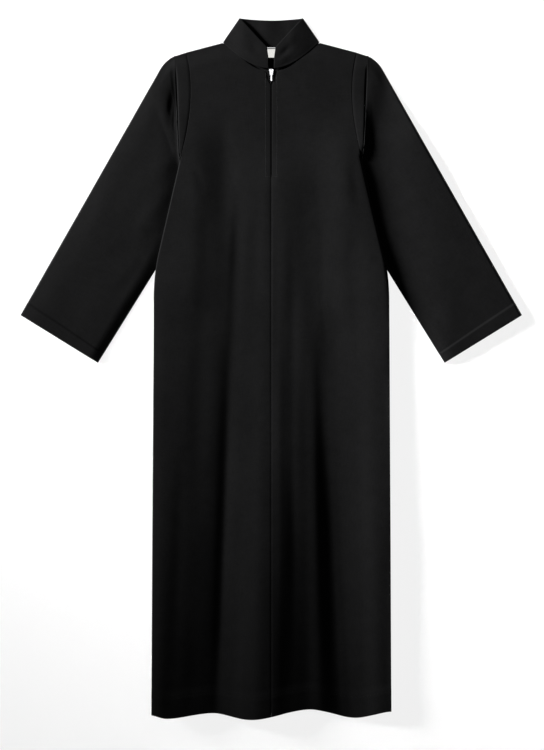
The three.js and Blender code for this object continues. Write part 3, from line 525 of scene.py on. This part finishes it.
def sleeve_heights(plan, down, across, side, head_loft):
    """Top of the sleeve's upper layer over its plan, and the thickness of its walls."""
    length = down[:, None] * SLEEVE_LENGTH + 0 * across[None, :]
    share = across[None, :] + 0 * length
    apart = plan[..., 0] - half_at(SIDE_ONLY, plan[..., 1])
    tucked = np.clip(tucked_lift(plan[..., 0], plan[..., 1]) - 2 * WALL - GAP - 0.4, 0, 3.2)
    if side < 0:
        clear = 1 - (1 - np.clip((apart + 1) / 55, 0, 1)) ** 2.2
    else:
        clear = ramp(apart, 50, 140)
        tucked = tucked / 3.2 * curve_through(apart, *BESIDE_BODY)
    outer, lower = share * 200, (1 - share) * 200
    if side < 0:
        edge_wall = 1 - (1 - np.clip(outer / 3.5, 0, 1)) ** 2
        crown = edge_wall * (0.68 + 0.32 * (1 - (1 - np.clip(outer / 50, 0, 1)) ** 2))
        tilt = -2.2 * share
    else:
        crown = 1 - (1 - np.clip(outer / 7, 0, 1)) ** 2
        tilt = 3.4 * (1 - share) ** 1.6 - 1.2
    crown = crown * (1 - (1 - np.clip(lower / 24, 0, 1)) ** 2)
    loft = lerp(tucked, SLEEVE_LOFT + tilt + (1.6 if side < 0 else 0), clear) * crown
    from_head = ramp(length, 4, 90)
    middle = ramp(share, 0.12, 0.4) * (1 - ramp(share, 0.55, 0.8))
    swell = 3 * np.sin(math.pi * np.clip(length / 90, 0, 1)) * middle if side < 0 else 0
    loft = lerp(np.minimum(head_loft[None, :], 11), loft, from_head) + swell
    creases = creased(share * 200, length, [(n, x0 * 200, d0, x1 * 200, d1, b, w, h)
                                            for n, x0, d0, x1, d1, b, w, h in SLEEVE_CREASES])
    creases = creases + rumple(share * 200, length, 9, 90, 0.4)
    cuff = SLEEVE_LENGTH - CUFF_DEPTH
    soft = crown * np.clip(clear * 1.3, 0.1, 1) * ramp(length, 2, 14)
    turned = WALL * (1 + ramp(length, cuff - 1, cuff + 1))
    return 2 * turned + GAP + np.maximum(loft + creases * soft, 0) + hem_groove(length, cuff, 0.14)


def make_sleeve(side, word, material):
    """One sleeve: a tube of two layers whose head is folded flat along its armhole."""
    edge = np.concatenate([
        [0, 0.4, 1.5, 3.2, 5.5, 9, 14], np.linspace(20, 180, 41), [186, 191, 194.5, 196.8, 198.5, 199.6, 200],
    ])
    across = edge / 200
    down = np.concatenate([
        np.linspace(0, 0.05, 12), np.linspace(0.057, 0.93, 100), np.linspace(0.936, 0.994, 16),
        [0.997, 0.9988, 0.9997, 1],
    ])
    seam = at(ARMHOLE, across)
    low = back_under(seam[:, 0], seam[:, 1])
    high = front_over(side * seam[:, 0], seam[:, 1])
    head = at(HEAD_FOLD, across)
    foot = at(FOLD_FOOT, across)
    plan = sleeve_plan(down, across)
    head_loft = high - 2 * WALL - GAP - 0.4
    tops = sleeve_heights(plan, down, across, side, head_loft)
    deep = ramp(across, 0.1, 0.34)
    floor = high - deep * np.minimum(1.8 if side < 0 else 3.5, high - 3.2)
    under_body = ramp(across, 0.955, 1)[:, None] * np.array((-4.0, 6.0))
    # The strip beside the armhole seam, then the narrow fold that the sleeve hangs from
    rows = []
    for share, dip in ((-0.04, 1.3), (0.02, 0.85), (0.08, 0.3), (0.25, 0.05), (0.6, 0), (0.9, 0)):
        point = seam + (head - seam) * share + under_body
        rows.append((point, high - dip * (1 - 0.6 * ramp(across, 0.8, 1)), low))
    for reach, sunk in HEAD_GROOVE:
        place = head + np.array((1.0, 0)) * reach * 0.9 + under_body
        height = lerp(high, floor, sunk) - 0.25 * deep * (reach > 3)
        rows.append((place, height, low * (1 - min(1, reach / 3))))
    rows.append((lerp(head, foot, 0.8) + np.array((1.0, 0)) * 0.6, high - 0.3, low * 0))
    head_points, head_top, head_low = (np.array([r[i] for r in rows]) for i in range(3))
    plan = np.concatenate([head_points, plan + np.array((1.5, 0)) * (1 - ramp(down, 0, 0.02))[:, None, None]])
    tops = np.concatenate([head_top, tops])
    lows = np.concatenate([head_low, 0 * tops[len(rows):]])
    thick = tops - lows
    radius = np.minimum(thick, 4) / 2
    from_edge = np.minimum(edge, SLEEVE_WIDTH - edge)[None, :]
    share = np.sqrt(np.clip(1 - (1 - np.clip(from_edge / np.maximum(radius, 0.2), 0, 1)) ** 2, 0, 1))
    middle = (tops + lows) / 2
    upper = middle + (tops - middle) * share
    lower = middle - (middle - lows) * share
    wall = 1.0
    inner_upper = middle + np.maximum(tops - middle - wall, 0.08) * share
    inner_lower = middle - np.maximum(middle - lows - wall, 0.08) * share
    rim = np.zeros(len(plan))
    rim[-3:] = (0.13, 0.5, 1)
    mix = rim[:, None] * 0.5

    def ring(up, low_side, inset):
        centre = plan.mean(axis=1, keepdims=True)
        away = centre - plan
        p = plan + away / np.maximum(np.linalg.norm(away, axis=-1, keepdims=True), 1e-6) * inset
        top = np.concatenate([p, up[..., None]], -1)
        below = np.concatenate([p, low_side[..., None]], -1)[:, 1:-1][:, ::-1]
        return np.concatenate([top, below], 1)

    outer = ring(lerp(upper, inner_upper, mix), lerp(lower, inner_lower, mix), 0)
    inner = ring(lerp(inner_upper, upper, mix), lerp(inner_lower, lower, mix), 0.9 * (1 - 2 * mix[..., None]))
    both = np.concatenate([outer, inner[::-1]])
    both[..., 0] *= side
    both[..., 1] *= -1
    count, around = both.shape[:2]
    faces = grid_faces(count, around, around=True, flip=side < 0)
    first, after = np.arange(around), (np.arange(around) + 1) % around
    last = (count - 1) * around
    close = np.stack([last + first, first, after, last + after], -1)
    faces = np.concatenate([faces, close if side > 0 else close[:, ::-1]])
    return mesh_object(f"sleeve_{word}_cloth", both, faces, material)


# Collar

def collar_band():
    """Bottom and top of the collar's middle line, from the front edge round to the centre back."""
    front = bezier((4.4, 57), (50, 55.5), (NECK_HALF - 1.9, -0.6), steps=200)
    reach = np.concatenate([np.linspace(0, 0.9, 46), 1 - 0.1 * (1 - np.linspace(0.1, 1, 16)) ** 2])
    floor = COLLAR_WALL / 2
    stations = []
    for facing, series in ((1, reach), (-1, reach[:-1][::-1])):
        for r in series:
            level = facing * math.sqrt(max(0.0, 1 - r**5))
            side, drop = at(front, np.array(r))
            seam_height = float(front_over(side + 1, drop + 1.5)) - 0.9
            if facing > 0:
                bottom = (side, drop)
                top = (lerp(COLLAR_TOP_GAP, COLLAR_TOP_HALF, r), lerp(COLLAR_TOP_DROP, -COLLAR_RISE, r))
            else:
                bottom = (r * (NECK_HALF - 1.9), lerp(NECK_DROP_BACK - 1.2, -0.6, r**2))
                top = (r * COLLAR_TOP_HALF, -(COLLAR_RISE - COLLAR_BACK_DIP * (1 - r**1.5)))
            stations.append((
                (bottom[0], -bottom[1], floor + (seam_height - floor) * (1 + level) / 2),
                (top[0], -top[1], floor + (COLLAR_LOFT - floor) * (1 + level) / 2),
                facing, r,
            ))
    return stations


def make_collar(material):
    half = collar_band()
    band = [((-b[0], b[1], b[2]), (-t[0], t[1], t[2]), f, r, -1) for b, t, f, r in half]
    band += [(b, t, f, r, 1) for b, t, f, r in half[::-1][1:]]
    bottom = np.array([s[0] for s in band], float)
    top = np.array([s[1] for s in band], float)
    facing = np.array([s[2] for s in band], float)
    reach = np.array([s[3] * s[4] for s in band], float)
    up = np.concatenate([[0, 0.012, 0.035, 0.07, 0.12], np.linspace(0.18, 0.9, 14), [0.95, 0.975, 0.99, 1]])
    grid = bottom[:, None] + (top - bottom)[:, None] * up[None, :, None]
    front = (facing > 0)[:, None]
    side = np.sign(reach)[:, None]
    away = np.exp(-((reach[:, None] / 0.12) ** 2)) * front * side
    cut = np.clip((up - 0.4) / 0.6, 0, 1) ** 1.4 - up
    grid[..., 0] += (COLLAR_TOP_GAP - 4.4) * cut[None, :] * away
    sag = 1.3 * np.sin(math.pi * up)[None, :] * front * np.clip(1 - np.abs(reach), 0, 1)[:, None] ** 0.5
    grid[..., 2] += sag
    dents = (
        (0.33, 0.52, 0.15, 0.13, -1.5), (0.26, 0.30, 0.14, 0.12, 0.9), (0.55, 0.78, 0.16, 0.2, 0.8),
        (-0.45, 0.30, 0.25, 0.14, 0.7), (-0.38, 0.58, 0.14, 0.16, -0.6), (-0.75, 0.6, 0.14, 0.3, 0.5),
    )
    for centre, height, wide, tall, depth in dents:
        spot = -(((reach[:, None] - centre) / wide) ** 2) - ((up[None, :] - height) / tall) ** 2
        grid[..., 2] += depth * front * np.exp(spot)
    inside = 1 - front
    bulge = 1.9 * np.exp(-(((grid[..., 0] + 8) / 20) ** 2)) + 0.7 * np.exp(-(((grid[..., 0] - 44) / 9) ** 2))
    grid[..., 2] += inside * bulge * up[None, :] ** 0.5
    across = np.gradient(grid, axis=0)
    upward = np.gradient(grid, axis=1)
    normal = np.cross(upward, across)
    normal /= np.linalg.norm(normal, axis=-1, keepdims=True)
    height = np.linalg.norm(top - bottom, axis=-1)[:, None]
    from_rim = np.minimum((1 - up)[None, :], up[None, :] + 0.004) * height
    span = np.concatenate([[0], np.cumsum(np.linalg.norm(np.diff((bottom + top) / 2, axis=0), axis=-1))])
    from_end = np.minimum(span, span[-1] - span)[:, None]
    share = round_edge(np.minimum(from_rim, from_end + 0.02), COLLAR_WALL) * COLLAR_WALL / 2
    seam = 0.35 * np.exp(-(((up[None, :] * height - 4.2) / 0.7) ** 2))
    outer = grid + normal * (share - seam)[..., None]
    inner = grid - normal * share[..., None]
    rows, columns = grid.shape[:2]
    ring = np.concatenate([outer, inner[:, ::-1]], 1)
    faces = grid_faces(rows, 2 * columns, around=True, flip=True)
    caps = []
    for r, turn in ((0, False), (rows - 1, True)):
        for c in range(columns - 1):
            quad = [r * 2 * columns + i for i in (c, c + 1, 2 * columns - 2 - c, 2 * columns - 1 - c)]
            caps.append(quad[::-1] if turn else quad)
    faces = np.concatenate([faces, np.array(caps)])
    return mesh_object("stand_collar", ring, faces, material)


# Materials

def node_material(name):
    material = bpy.data.materials.new(name)
    material.use_nodes = True
    tree = material.node_tree
    return material, tree, tree.nodes["Principled BSDF"]


def add(tree, kind, **values):
    """A new node with its options and inputs set; _ stands for the space in an input's name."""
    node = tree.nodes.new(kind)
    for key, value in values.items():
        if hasattr(node, key):
            setattr(node, key, value)
        else:
            node.inputs[key.replace("_", " ")].default_value = value
    return node


def texture(tree, kind, place, **values):
    """A texture or mapping node that reads its place from a socket, and gives its first output."""
    node = add(tree, kind, **values)
    tree.links.new(place, node.inputs["Vector"])
    return node.outputs[0]


def noise(tree, place, scale, detail, roughness=0.5):
    return texture(tree, "ShaderNodeTexNoise", place, Scale=scale, Detail=detail, Roughness=roughness)


def bands(tree, place, direction, pitch, **values):
    """Even stripes of a pitch in metres."""
    options = {"wave_type": "BANDS", "bands_direction": direction, "Scale": 1 / (pitch * 3.14), **values}
    node = add(tree, "ShaderNodeTexWave", **options)
    tree.links.new(place, node.inputs["Vector"])
    return node.outputs["Fac"]


def combined(tree, operation, first, second, factor=None):
    """One value from two; with a factor, the first is multiplied by it and the second is added."""
    node = add(tree, "ShaderNodeMath", operation=operation)
    tree.links.new(first, node.inputs[0])
    if factor is not None:
        node.inputs[1].default_value = factor
    tree.links.new(second, node.inputs[1 if factor is None else 2])
    return node.outputs["Value"]


def colour_by(tree, shader, value, dark, light, stops=(0, 1)):
    """Base colour from dark to light by one value."""
    colours = add(tree, "ShaderNodeValToRGB")
    for element, stop, colour in zip(colours.color_ramp.elements, stops, (dark, light)):
        element.position = stop
        element.color = (*colour, 1)
    tree.links.new(value, colours.inputs["Fac"])
    tree.links.new(colours.outputs["Color"], shader.inputs["Base Color"])


def roughen_by(tree, shader, value, least, most):
    rough = add(tree, "ShaderNodeMapRange", To_Min=least, To_Max=most)
    tree.links.new(value, rough.inputs["Value"])
    tree.links.new(rough.outputs["Result"], shader.inputs["Roughness"])


def raise_by(tree, shader, value, strength, depth):
    """Fine relief from one value."""
    bump = add(tree, "ShaderNodeBump", Strength=strength, Distance=depth)
    tree.links.new(value, bump.inputs["Height"])
    tree.links.new(bump.outputs["Normal"], shader.inputs["Normal"])


def twill_material(name, settings, grain_angle, tone=1.0):
    """Fine black twill: diagonal ribs, drawn threads, a soft mottle and a faint bloom."""
    material, tree, shader = node_material(name)
    place = add(tree, "ShaderNodeTexCoord").outputs["Object"]
    grain = texture(tree, "ShaderNodeMapping", place, Rotation=(0, 0, grain_angle))
    ribs = bands(tree, grain, "DIAGONAL", settings.rib_pitch, wave_profile="SIN", Distortion=0.5, Detail=1)
    mottle = noise(tree, grain, 38, 6, 0.6)
    weave = combined(tree, "MULTIPLY_ADD", ribs, noise(tree, grain, 900, 3), 0.55)
    mixed = combined(tree, "MULTIPLY_ADD", mottle, weave, 0.9)
    slubs = []
    for stretch in ((900, 70, 900), (70, 900, 900)):
        drawn = texture(tree, "ShaderNodeMapping", grain, Scale=stretch)
        slubs.append(noise(tree, drawn, 1, 2))
    threads = combined(tree, "ADD", *slubs)
    grained = combined(tree, "MULTIPLY_ADD", threads, mixed, 0.8)
    span = add(tree, "ShaderNodeMapRange", From_Min=1.42, From_Max=2.48)
    tree.links.new(grained, span.inputs["Value"])
    dark, light = ([c * tone * shade for c in settings.colour] for shade in (0.45, 1.55))
    colour_by(tree, shader, span.outputs["Result"], dark, light)
    roughen_by(tree, shader, mottle, settings.roughness - 0.06, settings.roughness + 0.06)
    raise_by(tree, shader, weave, 0.5, 0.00022)
    shader.inputs["Specular IOR Level"].default_value = settings.gloss
    shader.inputs["Sheen Weight"].default_value = settings.bloom
    shader.inputs["Sheen Roughness"].default_value = 0.55
    return material


def tape_material(settings):
    """Woven zip tape: fine cords along its length, crossed by closer picks."""
    material, tree, shader = node_material("zip tape weave")
    place = add(tree, "ShaderNodeTexCoord").outputs["Object"]
    both = combined(tree, "MULTIPLY", bands(tree, place, "X", 0.0011), bands(tree, place, "Y", 0.0007))
    dark, light = ([c * shade for c in settings.tape_colour] for shade in (0.5, 1.5))
    colour_by(tree, shader, both, dark, light)
    raise_by(tree, shader, both, 0.6, 0.0002)
    shader.inputs["Roughness"].default_value = 0.8
    shader.inputs["Specular IOR Level"].default_value = 0.2
    return material


def worn_material(name, dark, light, roughness, metallic, scale, depth):
    """A surface with fine uneven wear: colour, roughness and relief from one noise."""
    material, tree, shader = node_material(name)
    wear = noise(tree, add(tree, "ShaderNodeTexCoord").outputs["Object"], scale, 5)
    colour_by(tree, shader, wear, dark, light, (0.35, 0.7))
    roughen_by(tree, shader, wear, roughness - 0.08, roughness + 0.1)
    raise_by(tree, shader, wear, 0.35, depth)
    shader.inputs["Metallic"].default_value = metallic
    return material


def area_light(name, place, target, size, power):
    lamp = bpy.data.lights.new(name, "AREA")
    lamp.energy = power
    lamp.size = size
    thing = bpy.data.objects.new(name, lamp)
    thing.location = place
    thing.rotation_euler = (target - place).to_track_quat("-Z", "Y").to_euler()
    bpy.context.scene.collection.objects.link(thing)
    return thing


# Thread and zip

def capsule(length, width, height, around=6):
    """A stitch lying along Y: points and quads of a short rounded bar, with its ends drawn to a tip."""
    stations = ((-0.5, 0.25), (-0.4, 0.75), (-0.2, 1), (0.2, 1), (0.4, 0.75), (0.5, 0.25))
    angles = np.arange(around) * 2 * math.pi / around
    rings = []
    for y, share in stations:
        sideways = width / 2 * share * np.cos(angles)
        rings.append(np.stack([sideways, 0 * angles + y * length, height / 2 * share * np.sin(angles)], -1))
    return np.concatenate(rings), grid_faces(len(stations), around, around=True, flip=True)


def stitches(name, places, directions, pitch, material, width=0.55, height=0.5):
    """One mesh of equal stitches: places are points in millimetres, directions the way each runs in plan."""
    points, faces = capsule(pitch * 0.62, width, height)
    turn = np.arctan2(-directions[:, 0], directions[:, 1])
    c, s = np.cos(turn)[:, None], np.sin(turn)[:, None]
    x = points[None, :, 0] * c - points[None, :, 1] * s + places[:, None, 0]
    y = points[None, :, 0] * s + points[None, :, 1] * c + places[:, None, 1]
    slope = directions[:, 2] / np.maximum(np.hypot(directions[:, 0], directions[:, 1]), 1e-6)
    z = points[None, :, 2] + points[None, :, 1] * slope[:, None] + places[:, None, 2]
    cloud = np.stack([x, y, z], -1).reshape(-1, 3)
    quads = (faces[None] + (np.arange(len(places)) * len(points))[:, None, None]).reshape(-1, 4)
    return mesh_object(name, cloud, quads, material)


def spaced(line, pitch):
    """Points every pitch along a line of rows, with the line's direction there."""
    steps = np.concatenate([[0], np.cumsum(np.linalg.norm(np.diff(line, axis=0), axis=-1))])
    s = np.arange(pitch / 2, steps[-1], pitch)
    points = np.stack([np.interp(s, steps, line[:, i]) for i in range(3)], -1)
    ahead = np.stack([np.interp(s + 0.5, steps, line[:, i]) for i in range(3)], -1)
    back = np.stack([np.interp(s - 0.5, steps, line[:, i]) for i in range(3)], -1)
    return points, ahead - back


def coil_turns(pitch, around=6):
    """Points and faces of the coil: short arched bars that lead from one side and then the other."""
    turn = np.linspace(0, 1, 9)
    arch = np.sin(turn * math.pi)
    angles = np.arange(around) * 2 * math.pi / around
    radius = 0.42 * np.sin(np.clip(turn * 0.9 + 0.05, 0, 1) * math.pi) ** 0.35
    circle_x, circle_z = np.cos(angles)[None, :, None], np.sin(angles)[None, :, None]
    points, faces = [], []
    for i in range(int((ZIP_END + 2 - COIL_START) / pitch)):
        lead = 1 if i % 2 else -1
        drop = COIL_START + i * pitch
        middle = float(front_under(np.array(0.0), np.array(drop))) - GAP - 0.75
        path = np.stack([lead * lerp(-2.3, 0.9, turn), 0.35 * arch - drop, middle + 0.42 * arch], -1)
        tangent = np.gradient(path, axis=0)
        tangent /= np.linalg.norm(tangent, axis=-1, keepdims=True)
        sideways = np.cross(tangent, (0, 0, 1.0))
        sideways /= np.linalg.norm(sideways, axis=-1, keepdims=True)
        upward = np.cross(sideways, tangent)
        section = circle_x * sideways[:, None] + circle_z * upward[:, None]
        rings = path[:, None] + radius[:, None, None] * section
        faces.append(grid_faces(len(turn), around, around=True) + i * len(turn) * around)
        points.append(rings.reshape(-1, 3))
    return np.concatenate(points), np.concatenate(faces)


def on_front(across, drop, lift):
    return np.stack([across, -swayed(across, drop), front_surface(across, drop) + lift], -1)


def rides(thing, slot, *nodes):
    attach(thing, BODY)
    if nodes:
        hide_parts(*nodes)
    return thing


# Settings

def number(name, description, default, **limits):
    return bpy.props.FloatProperty(name=name, description=description, default=default, **limits)


def colour(name, description, default):
    return bpy.props.FloatVectorProperty(
        name=name, description=description, default=default, subtype="COLOR", size=3
    )


SHARE = {"min": 0, "max": 1, "subtype": "FACTOR"}
DISTANCE = {"unit": "LENGTH", "subtype": "DISTANCE"}


class CassockClothSettings(bpy.types.PropertyGroup):
    step: number("Mesh Step", "Spacing of the cloth's mesh, in millimetres", 4.6, min=2, max=20)
    rib_pitch: number("Rib Pitch", "Spacing of the twill's diagonal ribs", 0.0011, **DISTANCE)
    colour: colour("Colour", "Dye of the twill", (0.0098, 0.0098, 0.0102))
    roughness: number("Roughness", "How matte the twill is", 0.82, **SHARE)
    gloss: number("Gloss", "Strength of the threads' reflection", 0.16, **SHARE)
    bloom: number("Bloom", "Strength of the nap's soft sheen", 0.03, **SHARE)


class CassockZipSettings(bpy.types.PropertyGroup):
    coil_pitch: number("Coil Pitch", "Spacing of the coil's turns, in millimetres", 1.25, min=0.5, max=3)
    stitch_pitch: number(
        "Stitch Pitch", "Length of one topstitch with its gap, in millimetres", 3.6, min=1, max=8
    )
    stitch_line: number(
        "Stitch Line", "Distance of the topstitching from the centre, in millimetres", 12.6, min=5, max=25
    )
    tape_colour: colour("Tape Colour", "Dye of the zip's tapes", (0.012, 0.012, 0.0125))


class CassockStageSettings(bpy.types.PropertyGroup):
    floor_colour: colour("Floor Colour", "Colour of the pale floor", (0.9, 0.9, 0.9))
    key_power: number("Key Power", "Power of the large soft light", 20.5, min=0, unit="POWER")
    key_rise: number("Key Rise", "Height of the key over the floor, in degrees", 17, min=5, max=90)
    key_turn: number(
        "Key Turn", "How far the key stands towards the collar, in degrees", 20, min=-90, max=90
    )
    key_spread: number("Key Spread", "Width of the key's beam, in degrees", 20.5, min=5, max=180)
    key_drop: number("Key Aim", "Drop below the neck at which the key aims, in millimetres", 270)
    wash_power: number(
        "Wash Power", "Power of the even light on the floor, the label and the slider", 420,
        min=0, unit="POWER",
    )
    fill_strength: number("Fill", "Strength of the even light all round", 0.02, min=0)
    camera_height: number("Camera Height", "Height of the camera over the floor", 3.3, **DISTANCE)


# Operators

class OBJECT_OT_cassock_body(bpy.types.Operator):
    """Sew the two fronts and the back"""
    bl_idname = "object.cassock_body"
    bl_label = "Body Panels"

    def execute(self, context):
        settings = context.scene.cassock_cloth
        twill = twill_material("body twill", settings, 0)
        right = make_front(-1, "right", settings.step, twill)
        left = make_front(1, "left", settings.step, twill)
        back = make_back(settings.step * 1.6, twill)
        rides(right, "twill", "front_right")
        rides(left, "twill", "front_left")
        rides(back, "twill", "back")
        return {"FINISHED"}


class OBJECT_OT_cassock_sleeves(bpy.types.Operator):
    """Sew the two sleeves"""
    bl_idname = "object.cassock_sleeves"
    bl_label = "Sleeves"

    def execute(self, context):
        settings = context.scene.cassock_cloth
        for side, word in ((-1, "right"), (1, "left")):
            twill = twill_material(f"sleeve {word} twill", settings, -side * SLEEVE_TILT)
            sleeve = make_sleeve(side, word, twill)
            rides(sleeve, "twill", f"sleeve_{word}")
        return {"FINISHED"}


class OBJECT_OT_cassock_collar(bpy.types.Operator):
    """Sew the stand collar and the blank label"""
    bl_idname = "object.cassock_collar"
    bl_label = "Collar and Label"

    def execute(self, context):
        settings = context.scene.cassock_cloth
        collar = make_collar(twill_material("collar twill", settings, 0.5, 1.04))
        rides(collar, "collar_twill", "collar")
        satin = worn_material("label satin", (0.74, 0.73, 0.70), (0.86, 0.85, 0.82), 0.55, 0, 700, 0.0001)
        x, d = np.meshgrid(np.linspace(-17, 17, 24), np.linspace(12.5, 32.5, 16), indexing="xy")
        over = back_under(x, d) + WALL + GAP + 0.6 + 0.15 * np.sin(x / 6) * np.sin(d / 5)
        edge = np.minimum(17 - np.abs(x), np.minimum(d - 12.5, 32.5 - d))
        label = shell("neck_label_cloth", x, -d, over, over - 0.5, edge * 0.6, satin, True)
        rides(label, "label_satin", "neck_label")
        return {"FINISHED"}


class OBJECT_OT_cassock_zip(bpy.types.Operator):
    """Fit the zip: tapes, coil, slider and pull"""
    bl_idname = "object.cassock_zip"
    bl_label = "Zip"

    def execute(self, context):
        settings = context.scene.cassock_zip
        weave = tape_material(settings)
        columns = np.concatenate([[2.9, 3.0, 3.2], np.linspace(3.8, 15.2, 12), [15.8, 16]])
        half, drop = np.meshgrid(columns, np.linspace(60, ZIP_END + 4, 90))
        over = front_under(0 * half + 9.5, drop) - GAP + 0.12 * np.cos((half - 3) * 2.2)
        edge = np.minimum(np.minimum(half - 2.9, 16 - half), np.minimum(drop - 60, ZIP_END + 4 - drop))
        for side, word in ((-1, "right"), (1, "left")):
            name = f"zip_tape_{word}_weave"
            tape = shell(name, side * half, -drop, over, over - 0.6, edge, weave, side < 0)
            rides(tape, "zip_tape", f"zip_tape_{word}")
        black = (0.006, 0.006, 0.006)
        nylon = worn_material("coil nylon", black, (0.016, 0.016, 0.017), 0.35, 0, 600, 0.00005)
        coil = mesh_object("zip_coil_turns", *coil_turns(settings.coil_pitch), nylon)
        rides(coil, "zip_nylon", "zip_coil")
        metal = worn_material("slider metal", (0.28, 0.28, 0.29), (0.55, 0.55, 0.56), 0.38, 1, 900, 0.00005)
        for node in ("zip_slider", "zip_pull"):
            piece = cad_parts[node]
            piece.data.materials.clear()
            piece.data.materials.append(metal)
            bevel = piece.modifiers.new("Worn Edges", "BEVEL")
            bevel.width = 0.00016
            bevel.segments = 2
            bevel.limit_method = "ANGLE"
        return {"FINISHED"}


class OBJECT_OT_cassock_stitching(bpy.types.Operator):
    """Lay the visible stitching: beside the zip and at the hem"""
    bl_idname = "object.cassock_stitching"
    bl_label = "Stitching"

    def execute(self, context):
        settings = context.scene.cassock_zip
        # The thread's colour, lighter than the twill, is partly its own tone and partly a painted highlight
        # that stands in for the stitches catching the light.
        thread_and_painted_glint = worn_material("black thread", (0.02, 0.02, 0.021), (0.06, 0.06, 0.062), 0.5, 0, 260, 0.00005)
        line = settings.stitch_line
        places, directions = [], []
        for side in (-1, 1):
            drop = np.linspace(66, ZIP_END + 3, 120)
            p, d = spaced(on_front(0 * drop + side * line, drop, 0.1), settings.stitch_pitch)
            places.append(p)
            directions.append(d)
        across = np.linspace(-line, line, 40)
        p, d = spaced(on_front(across, 0 * across + ZIP_END + 3.5, 0.1), settings.stitch_pitch)
        keep = np.abs(p[:, 0]) > 1
        places.append(p[keep])
        directions.append(d[keep])
        places, directions = np.concatenate(places), np.concatenate(directions)
        sewn = stitches("zip_topstitching", places, directions, settings.stitch_pitch, thread_and_painted_glint)
        rides(sewn, "twill")
        places, directions = [], []
        for side in (-1, 1):
            across = side * np.linspace(2, 258, 300)
            p, d = spaced(on_front(across, 0 * across + HEM[1] - HEM_DEPTH, 0.05), 8.5)
            places.append(p)
            directions.append(d)
        places, directions = np.concatenate(places), np.concatenate(directions)
        blind = stitches("hem_stitches", places, directions, 2.2, thread_and_painted_glint, 0.4, 0.35)
        rides(blind, "twill")
        return {"FINISHED"}


class OBJECT_OT_cassock_stage(bpy.types.Operator):
    """Set the pale floor, the soft lights and the camera over the garment"""
    bl_idname = "object.cassock_stage"
    bl_label = "Stage"

    def execute(self, context):
        settings = context.scene.cassock_stage
        scene = context.scene
        material, _, shader = node_material("pale floor")
        shader.inputs["Base Color"].default_value = (*settings.floor_colour, 1)
        shader.inputs["Roughness"].default_value = 0.9
        shader.inputs["Specular IOR Level"].default_value = 0.1
        reach = 6.0
        corners = [(x * reach, y * reach, 0) for x, y in ((-1, -1), (1, -1), (1, 1), (-1, 1))]
        mesh = bpy.data.meshes.new("floor")
        mesh.from_pydata(corners, [], [(0, 1, 2, 3)])
        mesh.materials.append(material)
        floor = bpy.data.objects.new("floor", mesh)
        scene.collection.objects.link(floor)
        world = bpy.data.worlds.new("studio")
        world.use_nodes = True
        background = world.node_tree.nodes["Background"].inputs
        background["Color"].default_value = (1, 1, 1, 1)
        background["Strength"].default_value = settings.fill_strength
        scene.world = world
        aim = Vector((0, (NECK_Y - settings.key_drop) * MM, 0))
        rise, turn = math.radians(settings.key_rise), math.radians(settings.key_turn)
        away = Vector((-math.cos(turn) * math.cos(rise), math.sin(turn) * math.cos(rise), math.sin(rise)))
        key = area_light("key", aim + away * 8, aim, 0.8, settings.key_power)
        key.data.shape = "RECTANGLE"
        key.data.size_y = 2
        key.data.spread = math.radians(settings.key_spread)
        wash = area_light("wash", Vector((0, 0, 6)), Vector((0, 0, 0)), 5, settings.wash_power)
        lit = bpy.data.collections.new("lit by the wash")
        metal = [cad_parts[name] for name in ("zip_slider", "zip_pull")]
        for pale in (floor, bpy.data.objects["neck_label_cloth"], *metal):
            lit.objects.link(pale)
        wash.light_linking.receiver_collection = lit
        wash.data.use_shadow = False
        camera = bpy.data.cameras.new("overhead camera")
        camera.sensor_fit = "VERTICAL"
        camera.sensor_height = 36
        camera.sensor_width = 36
        camera.lens = 36 * settings.camera_height / VIEW_HEIGHT
        thing = bpy.data.objects.new("overhead camera", camera)
        thing.location = (0.0016, (NECK_Y - VIEW_DROP) * MM, settings.camera_height)
        thing.rotation_euler = (0, 0, 0)
        scene.collection.objects.link(thing)
        scene.camera = thing
        scene.view_settings.view_transform = "Standard"
        return {"FINISHED"}


class VIEW3D_PT_cassock(bpy.types.Panel):
    bl_label = "Cassock"
    bl_idname = "VIEW3D_PT_cassock"
    bl_space_type = "VIEW_3D"
    bl_region_type = "UI"
    bl_category = "Cassock"

    def draw(self, context):
        for group in ("cassock_cloth", "cassock_zip", "cassock_stage"):
            settings = getattr(context.scene, group)
            column = self.layout.column()
            for name in settings.bl_rna.properties.keys():
                if name not in ("rna_type", "name"):
                    column.prop(settings, name)
        for operator in OPERATORS:
            self.layout.operator(operator.bl_idname)


SETTINGS = {
    "cassock_cloth": CassockClothSettings,
    "cassock_zip": CassockZipSettings,
    "cassock_stage": CassockStageSettings,
}
OPERATORS = (
    OBJECT_OT_cassock_body,
    OBJECT_OT_cassock_sleeves,
    OBJECT_OT_cassock_collar,
    OBJECT_OT_cassock_zip,
    OBJECT_OT_cassock_stitching,
    OBJECT_OT_cassock_stage,
)


def register():
    for name, group in SETTINGS.items():
        bpy.utils.register_class(group)
        setattr(bpy.types.Scene, name, bpy.props.PointerProperty(type=group))
    for operator in OPERATORS:
        bpy.utils.register_class(operator)
    bpy.utils.register_class(VIEW3D_PT_cassock)


def unregister():
    bpy.utils.unregister_class(VIEW3D_PT_cassock)
    for operator in reversed(OPERATORS):
        bpy.utils.unregister_class(operator)
    for name, group in SETTINGS.items():
        delattr(bpy.types.Scene, name)
        bpy.utils.unregister_class(group)


def main():
    register()
    bpy.ops.object.cassock_body()
    bpy.ops.object.cassock_sleeves()
    bpy.ops.object.cassock_collar()
    bpy.ops.object.cassock_zip()
    bpy.ops.object.cassock_stitching()
    bpy.ops.object.cassock_stage()


if __name__ == "__main__":
    main()
